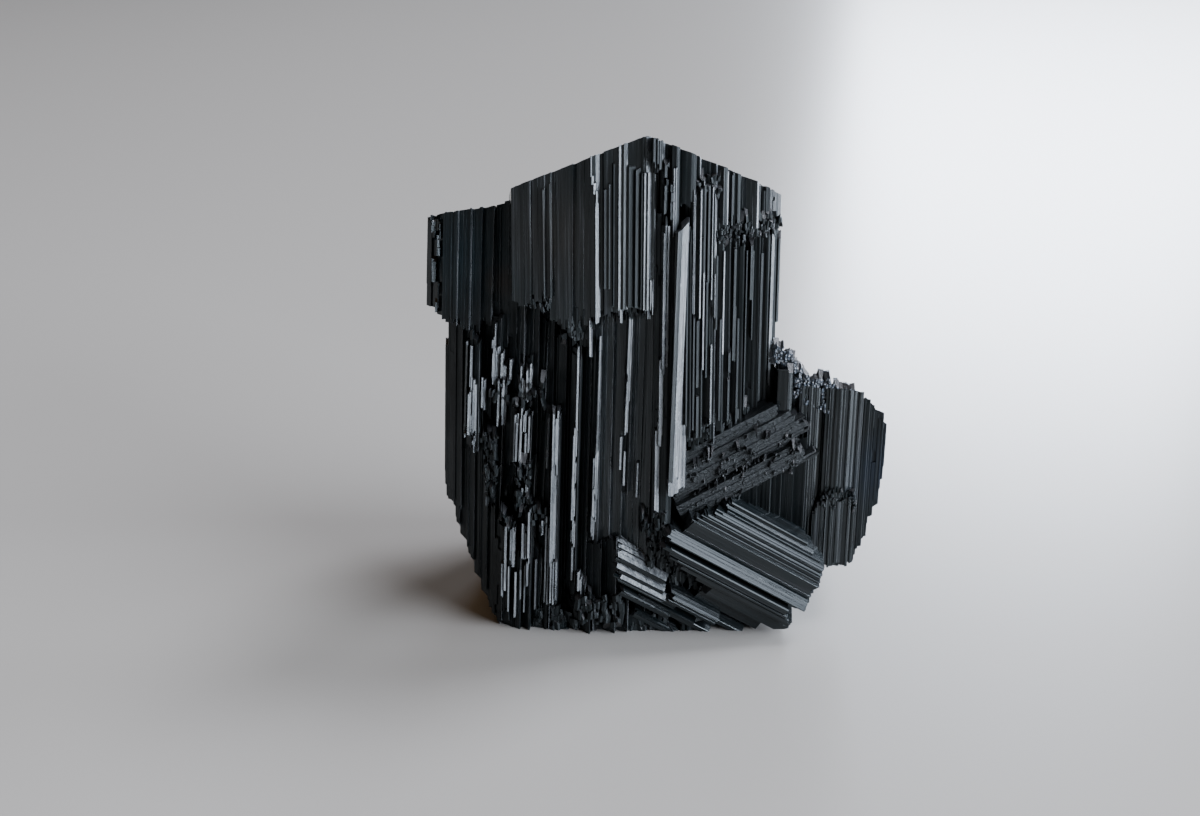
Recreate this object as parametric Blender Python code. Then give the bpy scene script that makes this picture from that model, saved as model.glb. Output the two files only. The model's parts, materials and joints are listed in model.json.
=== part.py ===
"""Black tourmaline cluster, a hand specimen of crystals grown into one another.

Every crystal is a bundle of ribs. A rib is a box whose sides are cut along the few directions that
tourmaline's prism faces take, so that the same faces repeat all over the cluster. All ribs are joined
in one closed solid, cut off flat underneath.

Sizes are in millimetres, and MM turns them into Blender's metres. The origin is the middle of the
bounding box's bottom, +Z runs up the tall crystal, and the broad front faces -Y.
"""

import math
import random

import bmesh
import bpy
from mathutils import Matrix, Vector

MM = 0.001
NAME = "tourmaline_cluster"
SEED = 11

# Prism faces, as the compass angle of each face's outward normal (0 is +X, 270 is the front).
LEFT_WALL = 197.0
LEFT_FACE = 257.0
RIGHT_FACE = 287.0
GLINT_FACE = 317.0
RIGHT_WALL = 347.0

# The crown: two low faces that meet at the peak, each with its downhill direction and its slope.
PEAK = Vector((-2.8, -13.0, 50.0))
CROWN_FACES = ((137.0, 27.2), (40.0, 25.0))
LEFT_TOP = ((110.0, 20.0),)     # the same for the upper left crystal's single top face
RIGHT_TOP = ((75.0, 22.0),)     # and for the right crystal's

# From the drawing's own zero, under the front corner, to the middle of the box's bottom.
TO_ORIGIN = Vector((-0.62, -1.0, 0.0))

BURIED = 3.5        # how far an ordinary rib reaches back into the crystal behind it
BELOW = -1.5        # a foot that the flat cut underneath takes off
UP_TO_CROWN = 60.0  # a top that the crown faces cut off
CROWN_STEP = 0.25   # how much lower than its neighbours a front rib may stand under the crown
BACK_STEP = 1.3     # the same at the back, where the crown is worn into steps
WELD = 0.002        # points closer than this are one


# ---------------------------------------------------------------------------------------------
# Shaping
# ---------------------------------------------------------------------------------------------

def facing(angle):
    """The horizontal direction of a compass angle."""
    return Vector((math.cos(math.radians(angle)), math.sin(math.radians(angle)), 0.0))


def slice_off(bm, point, outward):
    """Cuts away what lies beyond a plane and closes the cut."""
    everything = bm.verts[:] + bm.edges[:] + bm.faces[:]
    cut = bmesh.ops.bisect_plane(bm, geom=everything, plane_co=point, plane_no=outward, clear_outer=True)
    rim = [item for item in cut["geom_cut"] if isinstance(item, bmesh.types.BMEdge)]
    if rim:
        bmesh.ops.contextual_create(bm, geom=rim)


def box(left, right, front, back, foot, top):
    """A box between six limits."""
    bm = bmesh.new()
    bmesh.ops.create_cube(bm, size=1.0)
    middle = Vector((left + right, front + back, foot + top)) / 2.0
    size = Matrix.Diagonal((right - left, back - front, top - foot, 1.0))
    bmesh.ops.transform(bm, matrix=Matrix.Translation(middle) @ size, verts=bm.verts)
    return bm


def break_end(bm, dice, end, direction, steepest):
    """Breaks an end off along a slanting plane; direction is 1 for the top and -1 for the foot."""
    slope = math.radians(dice.uniform(0.25, 1.0) * steepest)
    outward = facing(dice.uniform(0.0, 360.0)) * math.sin(slope)
    outward.z = direction * math.cos(slope)
    slice_off(bm, end, outward)


def rib(left, right, front, foot, top, ridge=0.6, glint=GLINT_FACE, back=BURIED, lean=0.0, rough=18.0):
    """One rib: two walls, two front faces that meet at the ridge, and broken ends.

    ridge is where the front faces meet, as a share of the width. lean tips the top towards +X, in
    degrees, about the middle of the rib's height. rough is the steepest slope of a broken end.
    """
    dice = random.Random(f"{left:.2f} {front:.2f} {foot:.2f} {SEED}")
    width = right - left
    crest = Vector((left + ridge * width, front, 0.0))
    left_front = front + ridge * width * math.tan(math.radians(270.0 - LEFT_FACE))
    right_front = front + (1.0 - ridge) * width * math.tan(math.radians(glint - 270.0))
    deepest = max(left_front, right_front) + back
    slack = 0.35 * (deepest - front)
    spare = dice.uniform(1.0, 1.6)
    bm = box(left - slack, right + slack, front - 0.5, deepest, foot - spare, top + spare)
    slice_off(bm, crest, facing(LEFT_FACE))
    slice_off(bm, crest, facing(glint))
    slice_off(bm, Vector((left, left_front, 0.0)), facing(LEFT_WALL))
    slice_off(bm, Vector((right, right_front, 0.0)), facing(RIGHT_WALL))
    if top < UP_TO_CROWN:
        break_end(bm, dice, Vector((crest.x, front, top)), 1, rough)
    if foot > BELOW:
        break_end(bm, dice, Vector((crest.x, front, foot)), -1, rough)
    pivot = Vector(((left + right) / 2.0, front, (foot + min(top, PEAK.z)) / 2.0))
    tip = Matrix.Rotation(math.radians(lean), 4, "Y")
    about_pivot = Matrix.Translation(pivot) @ tip @ Matrix.Translation(-pivot)
    bmesh.ops.transform(bm, matrix=about_pivot, verts=bm.verts)
    return bm


def ribs(rows, **common):
    """A rib for each row of (left, right, front, foot, top, ridge, glint)."""
    return [rib(*row, **common) for row in rows]


def trimmed(bundle, point, faces, step=CROWN_STEP):
    """Cuts every rib of a bundle with low faces through one point, each rib up to a step lower.

    Each face is given by its downhill direction and its slope, in degrees.
    """
    dice = random.Random(f"{point.x:.2f} {step:.2f} {SEED}")
    for bm in bundle:
        corner = point - Vector((0.0, 0.0, dice.uniform(0.0, step)))
        for downhill, slope in faces:
            outward = facing(downhill) * math.sin(math.radians(slope))
            outward.z = math.cos(math.radians(slope))
            slice_off(bm, corner, outward)
    return bundle


def crowned(bundle, step=CROWN_STEP):
    """Cuts every rib of a bundle with the crown's two faces."""
    return trimmed(bundle, PEAK, CROWN_FACES, step)


def placed(bundle, middle, lean, turn):
    """Turns a bundle made upright at zero to a slanting crystal's place."""
    place = Matrix.Translation(middle)
    place = place @ Matrix.Rotation(math.radians(turn), 4, "Z") @ Matrix.Rotation(math.radians(lean), 4, "Y")
    for bm in bundle:
        bmesh.ops.transform(bm, matrix=place, verts=bm.verts)
    return bundle


def fence(path, spacing, foot, top, dice, back):
    """Ribs side by side along a path on the plan, facing away from the cluster's middle.

    foot and top are the lowest and highest values that each rib's own foot and top may take, and back is
    how far the ribs reach inwards.
    """
    bundle = []
    for start, end in zip(path, path[1:]):
        start = Vector(start)
        run = Vector(end) - start
        count = max(1, round(run.length / spacing))
        step = run.length / count
        away = math.degrees(math.atan2(run.y, run.x))
        for i in range(count):
            width = step * dice.uniform(1.1, 1.35)
            reach = dice.uniform(-0.5, 0.5)
            glint = dice.choice((RIGHT_FACE, GLINT_FACE))
            bm = rib(-width / 2.0, width / 2.0, reach, dice.uniform(*foot), dice.uniform(*top),
                     ridge=dice.uniform(0.2, 0.8), glint=glint, back=back, rough=30.0)
            spot = start + run * ((i + 0.5) / count)
            place = Matrix.Translation((spot.x, spot.y, 0.0)) @ Matrix.Rotation(math.radians(away), 4, "Z")
            bmesh.ops.transform(bm, matrix=place, verts=bm.verts)
            bundle.append(bm)
    return bundle


# ---------------------------------------------------------------------------------------------
# The crystals
# ---------------------------------------------------------------------------------------------

def main_body():
    """The tall crystal's inside, and the plain faces that show in its recesses."""
    middle = box(-15.2, 1.4, -10.3, 2.4, BELOW - 0.2, UP_TO_CROWN)
    slice_off(middle, Vector((1.2, -10.3, 0.0)), facing(GLINT_FACE))
    right = box(-2.0, 9.6, -12.0, 3.1, BELOW - 0.4, UP_TO_CROWN + 1.0)
    slice_off(right, Vector((0.4, -12.0, 0.0)), facing(313.0))
    left = box(-19.9, -13.0, -8.3, 6.0, BELOW, 40.0)
    slice_off(left, Vector((-19.0, -4.0, 2.0)), Vector((-0.9, -0.2, -0.36)))
    back_left = box(-14.6, -4.0, 1.2, 9.6, BELOW - 0.6, UP_TO_CROWN + 0.3)
    back_middle = box(-5.3, 3.0, 0.6, 10.4, BELOW - 0.8, UP_TO_CROWN + 0.6)
    back_right = box(1.8, 8.4, 1.8, 8.3, BELOW - 0.9, UP_TO_CROWN + 0.9)
    return crowned([middle, right, left]) + crowned([back_left, back_middle, back_right], BACK_STEP)


def front_slab():
    """The thick slab at the top front; its ribs break off at different heights over the recess."""
    left_half = (
        (-15.1, -13.3, -12.6, 35.6, UP_TO_CROWN, 0.75, RIGHT_FACE),
        (-13.6, -12.0, -13.0, 34.9, UP_TO_CROWN, 0.90, GLINT_FACE),
        (-12.3, -11.3, -13.2, 34.7, UP_TO_CROWN, 0.85, GLINT_FACE),
        (-11.6, -10.7, -13.1, 34.6, UP_TO_CROWN, 0.70, RIGHT_FACE),
        (-11.1, -9.0, -13.3, 32.3, UP_TO_CROWN, 0.92, GLINT_FACE),
        (-9.3, -7.9, -13.4, 30.5, UP_TO_CROWN, 0.88, RIGHT_FACE),
    )
    right_half = (
        (-8.2, -7.0, -13.3, 32.6, UP_TO_CROWN, 0.55, GLINT_FACE),
        (-7.3, -6.6, -12.7, 33.2, 38.0, 0.40, GLINT_FACE),
        (-7.2, -5.8, -13.5, 36.1, UP_TO_CROWN, 0.60, RIGHT_FACE),
        (-6.0, -5.1, -13.5, 33.4, UP_TO_CROWN, 0.70, GLINT_FACE),
        (-5.3, -4.5, -13.7, 33.7, UP_TO_CROWN, 0.55, GLINT_FACE),
        (-4.7, -3.1, -13.6, 34.3, UP_TO_CROWN, 0.85, RIGHT_FACE),
        (-3.4, -1.9, -13.9, 33.6, UP_TO_CROWN, 0.20, GLINT_FACE),
    )
    return crowned(ribs(left_half, lean=1.3, back=4.2) + ribs(right_half, lean=-0.5, back=4.2))


def front_corner():
    """The corner under the peak: hanging blocks, niches and the broad bright strip."""
    rows = (
        (-2.4, -1.0, -13.7, 47.2, UP_TO_CROWN, 0.30, GLINT_FACE),
        (-2.5, -2.0, -13.3, 33.5, 36.4, 0.20, GLINT_FACE),
        (-0.6, 0.1, -13.5, 41.2, UP_TO_CROWN, 0.35, GLINT_FACE),
        (0.0, 1.6, -12.9, 44.1, UP_TO_CROWN, 0.45, GLINT_FACE),
        (-0.2, 1.2, -14.5, 15.8, 41.4, 0.08, GLINT_FACE),
        (-2.9, -1.6, -12.4, 9.5, 33.0, 0.60, RIGHT_FACE),
    )
    long_rib = (-1.7, -0.5, -13.9, 12.4, UP_TO_CROWN, 0.45, GLINT_FACE)
    return crowned(ribs(rows) + [rib(*long_rib, lean=0.7)])


def right_front():
    """The face that runs back from the corner, crossed by a rough break under the crown."""
    above_break = (
        (1.0, 1.8, -13.2, 32.6, 45.2, 0.30, GLINT_FACE),
        (1.6, 2.4, -12.7, 33.4, 45.5, 0.30, GLINT_FACE),
        (2.2, 3.8, -12.0, 35.6, 45.6, 0.45, RIGHT_FACE),
        (2.6, 4.0, -11.3, 21.0, UP_TO_CROWN, 0.60, RIGHT_FACE),
        (3.8, 5.7, -11.0, 41.2, UP_TO_CROWN, 0.15, GLINT_FACE),
        (5.4, 7.8, -9.1, 40.4, UP_TO_CROWN, 0.88, RIGHT_FACE),
        (7.6, 8.9, -7.5, 40.6, 44.3, 0.20, GLINT_FACE),
        (8.2, 10.1, -6.6, 39.8, UP_TO_CROWN, 0.12, GLINT_FACE),
    )
    below_break = (
        (1.0, 2.3, -12.7, 19.5, 34.5, 0.50, RIGHT_FACE),
        (2.1, 3.3, -12.2, 19.8, 36.5, 0.55, GLINT_FACE),
        (3.1, 4.6, -10.9, 20.0, 40.5, 0.75, GLINT_FACE),
        (4.4, 5.5, -9.9, 20.2, 39.2, 0.55, GLINT_FACE),
        (5.3, 6.3, -9.2, 21.5, 40.2, 0.40, RIGHT_FACE),
        (6.1, 7.5, -8.6, 20.0, 39.4, 0.45, GLINT_FACE),
        (7.3, 9.2, -7.3, 20.0, 40.3, 0.85, GLINT_FACE),
        (8.8, 9.8, -6.3, 21.0, 39.2, 0.40, GLINT_FACE),
    )
    upper = ribs(above_break, lean=-0.9, rough=30.0, back=5.0)
    lower = ribs(below_break, lean=-0.9, rough=35.0, back=5.0)
    return crowned(upper + lower)


def recess_ribs():
    """The long thin ribs that stand in the deep recess under the slab, down to the dark block."""
    rows = (
        (-12.1, -11.0, -12.6, 1.0, 22.4, 0.25, GLINT_FACE),
        (-12.7, -11.9, -12.1, 9.8, 22.0, 0.70, GLINT_FACE),
        (-11.3, -9.7, -11.8, BELOW, 31.0, 0.80, RIGHT_FACE),
        (-10.0, -9.2, -12.7, 8.5, 30.6, 0.45, GLINT_FACE),
        (-9.2, -8.1, -11.9, BELOW, 32.0, 0.70, RIGHT_FACE),
        (-8.2, -7.2, -12.6, 7.5, 32.0, 0.35, GLINT_FACE),
        (-6.9, -5.4, -11.9, BELOW, 34.0, 0.55, RIGHT_FACE),
        (-5.2, -4.0, -12.9, 20.6, 34.5, 0.45, GLINT_FACE),
        (-5.6, -4.4, -12.5, 14.8, 22.5, 0.60, GLINT_FACE),
        (-4.2, -3.0, -12.4, 8.0, 34.0, 0.75, RIGHT_FACE),
        (-3.9, -3.3, -12.8, 14.5, 18.2, 0.50, GLINT_FACE),
    )
    block = (
        (-8.7, -6.9, -13.0, 3.4, 9.9, 0.70, RIGHT_FACE),
        (-7.2, -5.4, -13.3, BELOW, 10.3, 0.60, GLINT_FACE),
        (-9.8, -8.5, -12.9, 2.6, 5.2, 0.40, GLINT_FACE),
        (-2.6, -1.3, -13.0, 9.8, 11.8, 0.40, GLINT_FACE),
        (-10.6, -9.0, -12.4, BELOW, 3.2, 0.50, RIGHT_FACE),
        (-8.9, -7.6, -13.6, BELOW, 3.9, 0.40, GLINT_FACE),
        (-5.8, -4.3, -13.2, BELOW, 4.4, 0.60, RIGHT_FACE),
    )
    return ribs(rows, lean=1.8) + ribs(block, lean=1.0, rough=30.0)


def upper_left_crystal():
    """The short crystal at the upper left, leaning, with its left side turned to the front."""
    rows = (
        (-22.0, -20.2, -9.4, 31.9, 46.0, 0.85, RIGHT_FACE),
        (-20.5, -19.2, -9.8, 31.4, 46.0, 0.75, GLINT_FACE),
        (-19.5, -18.3, -9.9, 31.0, 46.0, 0.75, GLINT_FACE),
        (-18.6, -17.2, -9.7, 31.6, 46.0, 0.70, RIGHT_FACE),
    )
    steps = (
        # a rib, and the height that its top is cut to
        ((-17.6, -16.3, -9.3, 30.0, 47.0, 0.65, RIGHT_FACE), 42.6),
        ((-16.7, -15.5, -9.5, 30.0, 47.0, 0.70, RIGHT_FACE), 43.1),
        ((-15.9, -14.7, -9.9, 30.0, 47.0, 0.70, RIGHT_FACE), 43.6),
    )
    bundle = trimmed(ribs(rows, lean=6.0, back=5.5, rough=10.0), Vector((-21.5, -9.5, 42.3)), LEFT_TOP)
    for row, height in steps:
        bundle += trimmed([rib(*row, lean=3.0, back=5.0)], Vector((row[0], row[2], height)), LEFT_TOP)
    return bundle


def left_columns():
    """The steps at the lower left: short columns whose ends climb like stairs."""
    outer = (
        (-20.5, -19.0, -9.3, 22.5, 34.0, 0.70, RIGHT_FACE),
        (-20.8, -19.2, -9.9, 17.0, 30.2, 0.75, GLINT_FACE),
        (-21.5, -20.0, -8.9, 11.9, 25.0, 0.60, RIGHT_FACE),
        (-19.8, -18.6, -10.6, 19.2, 25.5, 0.12, GLINT_FACE),
        (-20.7, -19.3, -9.4, 8.6, 19.0, 0.60, RIGHT_FACE),
        (-19.9, -18.4, -10.0, 6.2, 20.0, 0.70, RIGHT_FACE),
        (-20.3, -19.0, -8.8, 7.0, 14.0, 0.50, RIGHT_FACE),
        (-19.3, -17.9, -10.6, 3.6, 13.0, 0.60, RIGHT_FACE),
        (-18.5, -17.1, -10.9, 1.7, 11.5, 0.60, GLINT_FACE),
    )
    inner = (
        (-19.4, -17.6, -9.3, 16.0, 33.0, 0.80, RIGHT_FACE),
        (-17.8, -15.4, -10.4, 25.4, 32.2, 0.10, GLINT_FACE),
        (-18.8, -17.7, -10.7, 23.0, 25.4, 0.20, GLINT_FACE),
        (-17.1, -16.0, -11.0, 21.8, 26.0, 0.25, GLINT_FACE),
        (-18.3, -16.0, -10.2, 12.0, 24.0, 0.70, RIGHT_FACE),
        (-18.9, -17.1, -10.9, 11.6, 19.0, 0.45, GLINT_FACE),
        (-15.7, -13.4, -10.9, 22.8, 27.4, 0.55, GLINT_FACE),
        (-16.0, -14.7, -11.6, 17.3, 22.6, 0.40, GLINT_FACE),
        (-15.0, -13.9, -11.5, 18.3, 22.5, 0.40, GLINT_FACE),
        (-15.6, -13.3, -11.2, 11.0, 19.0, 0.60, GLINT_FACE),
        (-14.0, -12.4, -11.2, 9.0, 22.2, 0.75, RIGHT_FACE),
        (-13.6, -12.2, -11.0, 18.0, 32.0, 0.60, RIGHT_FACE),
        (-15.6, -13.4, -10.3, 20.0, 34.0, 0.70, RIGHT_FACE),
    )
    lowest = (
        (-18.0, -16.8, -11.9, 1.1, 9.0, 0.55, GLINT_FACE),
        (-17.5, -15.6, -12.1, 0.5, 10.5, 0.72, GLINT_FACE),
        (-16.3, -15.0, -12.6, BELOW, 6.4, 0.50, GLINT_FACE),
        (-15.6, -14.0, -12.4, BELOW, 11.7, 0.45, GLINT_FACE),
        (-14.4, -13.0, -12.3, BELOW, 8.8, 0.55, RIGHT_FACE),
        (-13.4, -12.3, -12.8, BELOW, 4.6, 0.50, GLINT_FACE),
        (-13.2, -12.3, -12.2, 3.0, 11.2, 0.40, GLINT_FACE),
    )
    return (ribs(outer, lean=3.6, rough=20.0, back=4.0) + ribs(inner, lean=3.6, rough=25.0)
            + ribs(lowest, lean=2.6, rough=25.0))


def right_crystal():
    """The lower crystal at the right, which hangs clear of the surface."""
    inside = box(8.0, 20.0, -5.2, 5.0, 5.6, 21.0)
    slice_off(inside, Vector((19.0, -5.2, 0.0)), facing(GLINT_FACE))
    broad_rows = (
        (13.3, 14.6, -8.0, 5.6, 27.0, 0.60, RIGHT_FACE),
        (14.4, 15.4, -7.4, 5.2, 27.0, 0.60, RIGHT_FACE),
        (15.2, 16.3, -8.2, 5.0, 27.0, 0.45, GLINT_FACE),
        (16.1, 17.1, -8.2, 5.0, 27.0, 0.45, GLINT_FACE),
        (16.9, 17.8, -8.1, 4.6, 27.0, 0.50, GLINT_FACE),
        (17.6, 18.7, -7.7, 4.8, 27.0, 0.50, GLINT_FACE),
    )
    fringe = (
        (18.4, 19.7, -6.6, 6.4, 22.8, 0.60, RIGHT_FACE),
        (19.4, 20.7, -5.6, 8.0, 21.4, 0.60, GLINT_FACE),
        (20.4, 21.6, -4.7, 9.4, 19.9, 0.55, RIGHT_FACE),
        (21.3, 22.3, -3.6, 11.8, 18.4, 0.50, GLINT_FACE),
    )
    lower_rows = (
        (14.6, 16.0, -8.4, 5.2, 11.6, 0.55, RIGHT_FACE),
        (16.8, 18.2, -8.5, 5.0, 12.6, 0.45, GLINT_FACE),
    )
    broad = trimmed(ribs(broad_rows, back=5.0, rough=22.0), Vector((15.2, -8.2, 24.6)), RIGHT_TOP)
    return [inside] + broad + ribs(fringe, back=3.4, rough=9.0) + ribs(lower_rows, rough=30.0)


def between_the_slants():
    """Dark upright ribs that show between the two slanting crystals."""
    rows = (
        (5.2, 6.6, -9.6, BELOW, 17.5, 0.55, RIGHT_FACE),
        (6.4, 7.6, -9.2, BELOW, 18.0, 0.50, GLINT_FACE),
        (7.5, 8.8, -8.7, BELOW, 18.5, 0.50, RIGHT_FACE),
        (8.6, 9.9, -8.5, 1.6, 19.5, 0.45, GLINT_FACE),
        (9.7, 11.0, -7.9, 2.4, 20.5, 0.55, GLINT_FACE),
        (10.8, 12.2, -7.3, 3.0, 21.0, 0.80, RIGHT_FACE),
        (12.0, 13.5, -7.5, 3.8, 21.5, 0.50, GLINT_FACE),
    )
    return ribs(rows, back=5.0)


def upper_slanting_crystal():
    """The matte crystal that rises to the right across the cluster, in two bands with a step."""
    rows = (
        (-3.3, -1.9, 0.6, -5.8, 5.6, 0.60, RIGHT_FACE),
        (-2.2, -0.6, 0.0, -6.9, 6.6, 0.45, RIGHT_FACE),
        (-0.9, 0.5, 0.4, -7.2, 6.9, 0.50, GLINT_FACE),
        (0.3, 1.6, -0.9, -7.0, 5.2, 0.40, RIGHT_FACE),
        (1.4, 2.6, -0.6, -7.6, 6.2, 0.55, GLINT_FACE),
        (2.3, 3.4, 0.3, -7.4, 6.4, 0.50, GLINT_FACE),
    )
    bundle = ribs(rows, back=3.2, rough=30.0)
    return placed(bundle, Vector((7.2, -10.6, 18.0)), 66.0, 14.0)


def lower_slanting_crystal():
    """The glossy crystal that falls to the right and rests on the surface."""
    rows = (
        (3.2, 4.1, -0.2, -3.8, 4.2, 0.55, GLINT_FACE),
        (2.9, 3.8, -0.3, -6.9, 4.6, 0.60, GLINT_FACE),
        (2.1, 3.2, -0.9, -7.1, 5.6, 0.40, GLINT_FACE),
        (0.0, 2.4, -1.2, -7.5, 7.0, 0.90, GLINT_FACE),
        (-2.3, 0.2, -2.2, -7.2, 8.2, 0.56, GLINT_FACE),
        (-3.7, -2.0, -1.6, -6.8, 3.6, 0.70, GLINT_FACE),
        (-4.8, -3.4, -1.0, -6.0, 0.8, 0.65, GLINT_FACE),
        (-5.9, -4.5, -0.2, -4.8, 1.4, 0.60, RIGHT_FACE),
    )
    bundle = ribs(rows, back=3.6, rough=24.0)
    return placed(bundle, Vector((6.4, -12.5, 8.0)), -59.0, 3.0)


def small_slanting_crystals():
    """Thin crystals at the foot, lying the same way as the lower slanting crystal."""
    slant = -59.0
    spots = (
        # middle, half length, half width
        ((-3.8, -13.0, 8.9), 1.7, 0.55),
        ((-3.1, -13.5, 7.6), 2.3, 0.50),
        ((-3.2, -13.7, 6.5), 2.2, 0.50),
        ((-2.6, -13.9, 5.3), 2.9, 0.50),
        ((-2.7, -13.6, 3.9), 2.4, 0.60),
        ((-0.6, -13.4, 3.1), 2.8, 0.65),
        ((0.2, -12.6, 8.2), 2.4, 0.60),
        ((2.2, -13.9, 3.3), 2.2, 0.70),
        ((1.1, -13.0, 1.9), 2.6, 0.60),
        ((4.6, -12.8, 1.6), 2.4, 0.60),
        ((-1.6, -12.9, 1.2), 2.2, 0.60),
    )
    bundle = []
    for middle, half_length, half_width in spots:
        row = (-half_width, half_width, 0.0, -half_length, half_length, 0.45, GLINT_FACE)
        bundle += placed([rib(*row, rough=30.0)], Vector(middle), slant, 4.0)
    return bundle


def shoulder_growth(dice):
    """Small stubby crystals on the shoulder between the tall and the right crystal."""
    bundle = [rib(10.0, 11.4, -7.7, 21.0, 26.6, 0.50, RIGHT_FACE, rough=6.0)]
    count = 18
    for i in range(count):
        along = i / (count - 1)
        middle_x = 10.6 + 4.6 * along
        height = 24.4 + 3.2 * (1.0 - along) ** 2 + dice.uniform(-0.8, 0.0)
        half = dice.uniform(0.35, 0.6)
        front = dice.uniform(-6.8, -4.6)
        bundle.append(rib(middle_x - half, middle_x + half, front, 18.0, height, dice.uniform(0.3, 0.7),
                          RIGHT_FACE, back=2.6, lean=dice.uniform(-5.0, 7.0), rough=25.0))
    return bundle


def back_and_sides(dice):
    """The ribbed back and sides, in tiers that end at different heights."""
    around = ((9.5, -3.8), (10.3, 2.6), (8.6, 8.4), (3.0, 11.8), (-5.2, 13.0),
              (-13.2, 10.4), (-18.0, 5.4), (-19.8, -1.6), (-19.6, -5.6))
    behind_right = ((20.6, -2.4), (20.4, 2.4), (17.6, 5.6), (10.6, 7.0))
    behind_left = ((-17.0, 0.6), (-21.2, -1.6), (-21.9, -6.0))
    upper = fence(around[:6], 2.3, (16.0, 26.0), (UP_TO_CROWN, UP_TO_CROWN), dice, 6.0)
    left_upper = fence(around[5:], 2.2, (14.0, 22.0), (34.0, 39.0), dice, 5.0)
    lower = fence(around[:7], 2.4, (BELOW, BELOW), (20.0, 34.0), dice, 6.0)
    left_lower = fence(around[6:], 2.2, (2.5, 8.0), (17.0, 27.0), dice, 5.0)
    right_back = fence(behind_right, 1.9, (6.0, 9.0), (15.0, 20.0), dice, 4.0)
    tab_back = fence(behind_left, 2.0, (32.5, 33.5), (44.0, 45.0), dice, 4.5)
    return (crowned(upper + left_upper + lower + left_lower, BACK_STEP) + right_back
            + trimmed(tab_back, Vector((-21.5, -9.5, 42.0)), LEFT_TOP))


# ---------------------------------------------------------------------------------------------
# Blender objects
# ---------------------------------------------------------------------------------------------

def clear_scene():
    for item in list(bpy.data.objects):
        bpy.data.objects.remove(item)


def new_collection(name):
    collection = bpy.data.collections.new(name)
    bpy.context.scene.collection.children.link(collection)
    return collection


def new_object(name, bm, collection):
    """Moves a millimetre mesh to the origin, turns it into metres and makes it an object."""
    bmesh.ops.transform(bm, matrix=Matrix.Scale(MM, 4) @ Matrix.Translation(-TO_ORIGIN), verts=bm.verts)
    bmesh.ops.recalc_face_normals(bm, faces=bm.faces)
    mesh = bpy.data.meshes.new(name)
    bm.to_mesh(mesh)
    bm.free()
    item = bpy.data.objects.new(name, mesh)
    collection.objects.link(item)
    return item


def as_guide(item):
    item.hide_render = True
    item.display_type = "WIRE"


def black_tourmaline():
    """Opaque black, glassy on its faces."""
    material = bpy.data.materials.new("black_tourmaline")
    material.use_nodes = True
    surface = material.node_tree.nodes["Principled BSDF"]
    surface.inputs["Base Color"].default_value = (0.012, 0.012, 0.014, 1.0)
    surface.inputs["Roughness"].default_value = 0.25
    surface.inputs["Metallic"].default_value = 0.0
    surface.inputs["IOR"].default_value = 1.64
    return material


def join_all(core, others, cutter):
    """Unites the ribs with the core, then cuts the cluster off flat underneath."""
    union = core.modifiers.new("grow together", "BOOLEAN")
    union.operation = "UNION"
    union.operand_type = "COLLECTION"
    union.collection = others
    union.solver = "EXACT"
    flat = core.modifiers.new("cut flat underneath", "BOOLEAN")
    flat.operation = "DIFFERENCE"
    flat.object = cutter
    flat.solver = "EXACT"


def connected(start):
    """All points of the skin that a point belongs to."""
    found = {start}
    waiting = [start]
    while waiting:
        point = waiting.pop()
        for edge in point.link_edges:
            other = edge.other_vert(point)
            if other not in found:
                found.add(other)
                waiting.append(other)
    return found


def outer_skin(cluster):
    """Applies the joins, welds doubled points and fills the pockets sealed between ribs."""
    view = bpy.context.evaluated_depsgraph_get()
    mesh = bpy.data.meshes.new_from_object(cluster.evaluated_get(view))
    bm = bmesh.new()
    bm.from_mesh(mesh)
    bmesh.ops.triangulate(bm, faces=bm.faces)
    bmesh.ops.remove_doubles(bm, verts=bm.verts, dist=WELD * MM)
    skins = []
    left_over = set(bm.verts)
    while left_over:
        skin = connected(next(iter(left_over)))
        skins.append(skin)
        left_over -= skin
    skins.sort(key=len)
    for pocket in skins[:-1]:
        bmesh.ops.delete(bm, geom=list(pocket), context="VERTS")
    loose = [edge for edge in bm.edges if not edge.link_faces]
    bmesh.ops.delete(bm, geom=loose, context="EDGES")
    bm.to_mesh(mesh)
    bm.free()
    cluster.modifiers.clear()
    cluster.data = mesh


def build():
    clear_scene()
    parts = new_collection("tourmaline")
    guides = new_collection("guides")
    grown = new_collection("ribs")
    dice = random.Random(SEED)
    core, *bodies = main_body()
    bundle = (bodies + front_slab() + front_corner() + right_front() + recess_ribs() + upper_left_crystal()
              + left_columns() + right_crystal() + between_the_slants() + upper_slanting_crystal()
              + lower_slanting_crystal() + small_slanting_crystals() + shoulder_growth(dice)
              + back_and_sides(dice))
    for number, bm in enumerate(bundle):
        as_guide(new_object(f"rib_{number:03d}", bm, grown))
    cluster = new_object(NAME, core, parts)
    cluster.data.materials.append(black_tourmaline())
    ground = new_object("ground_cutter", box(-40.0, 40.0, -40.0, 40.0, -20.0, 0.0), guides)
    as_guide(ground)
    join_all(cluster, grown, ground)
    outer_skin(cluster)


build()
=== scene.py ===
"""Black tourmaline cluster: its finished look, on a pale worktop in soft window light.

The cluster is made of ribs, as crystals of tourmaline are. Each rib is a plain body with a row of
splinters grown on its front: thin upright slivers with flat faces, narrow bright edges and broken ends.
Everything is joined in one closed skin.

Sizes are in millimetres in the drawing's own frame, and as_object() brings them to the shared one. In the
tables a rib or a bright face is given by its left and right edge, how far to the front it stands (less is
nearer), its foot and its top.
"""

import json
import random
from math import atan2, cos, degrees, radians, sin

import bmesh
import bpy
from mathutils import Matrix, Vector

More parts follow.
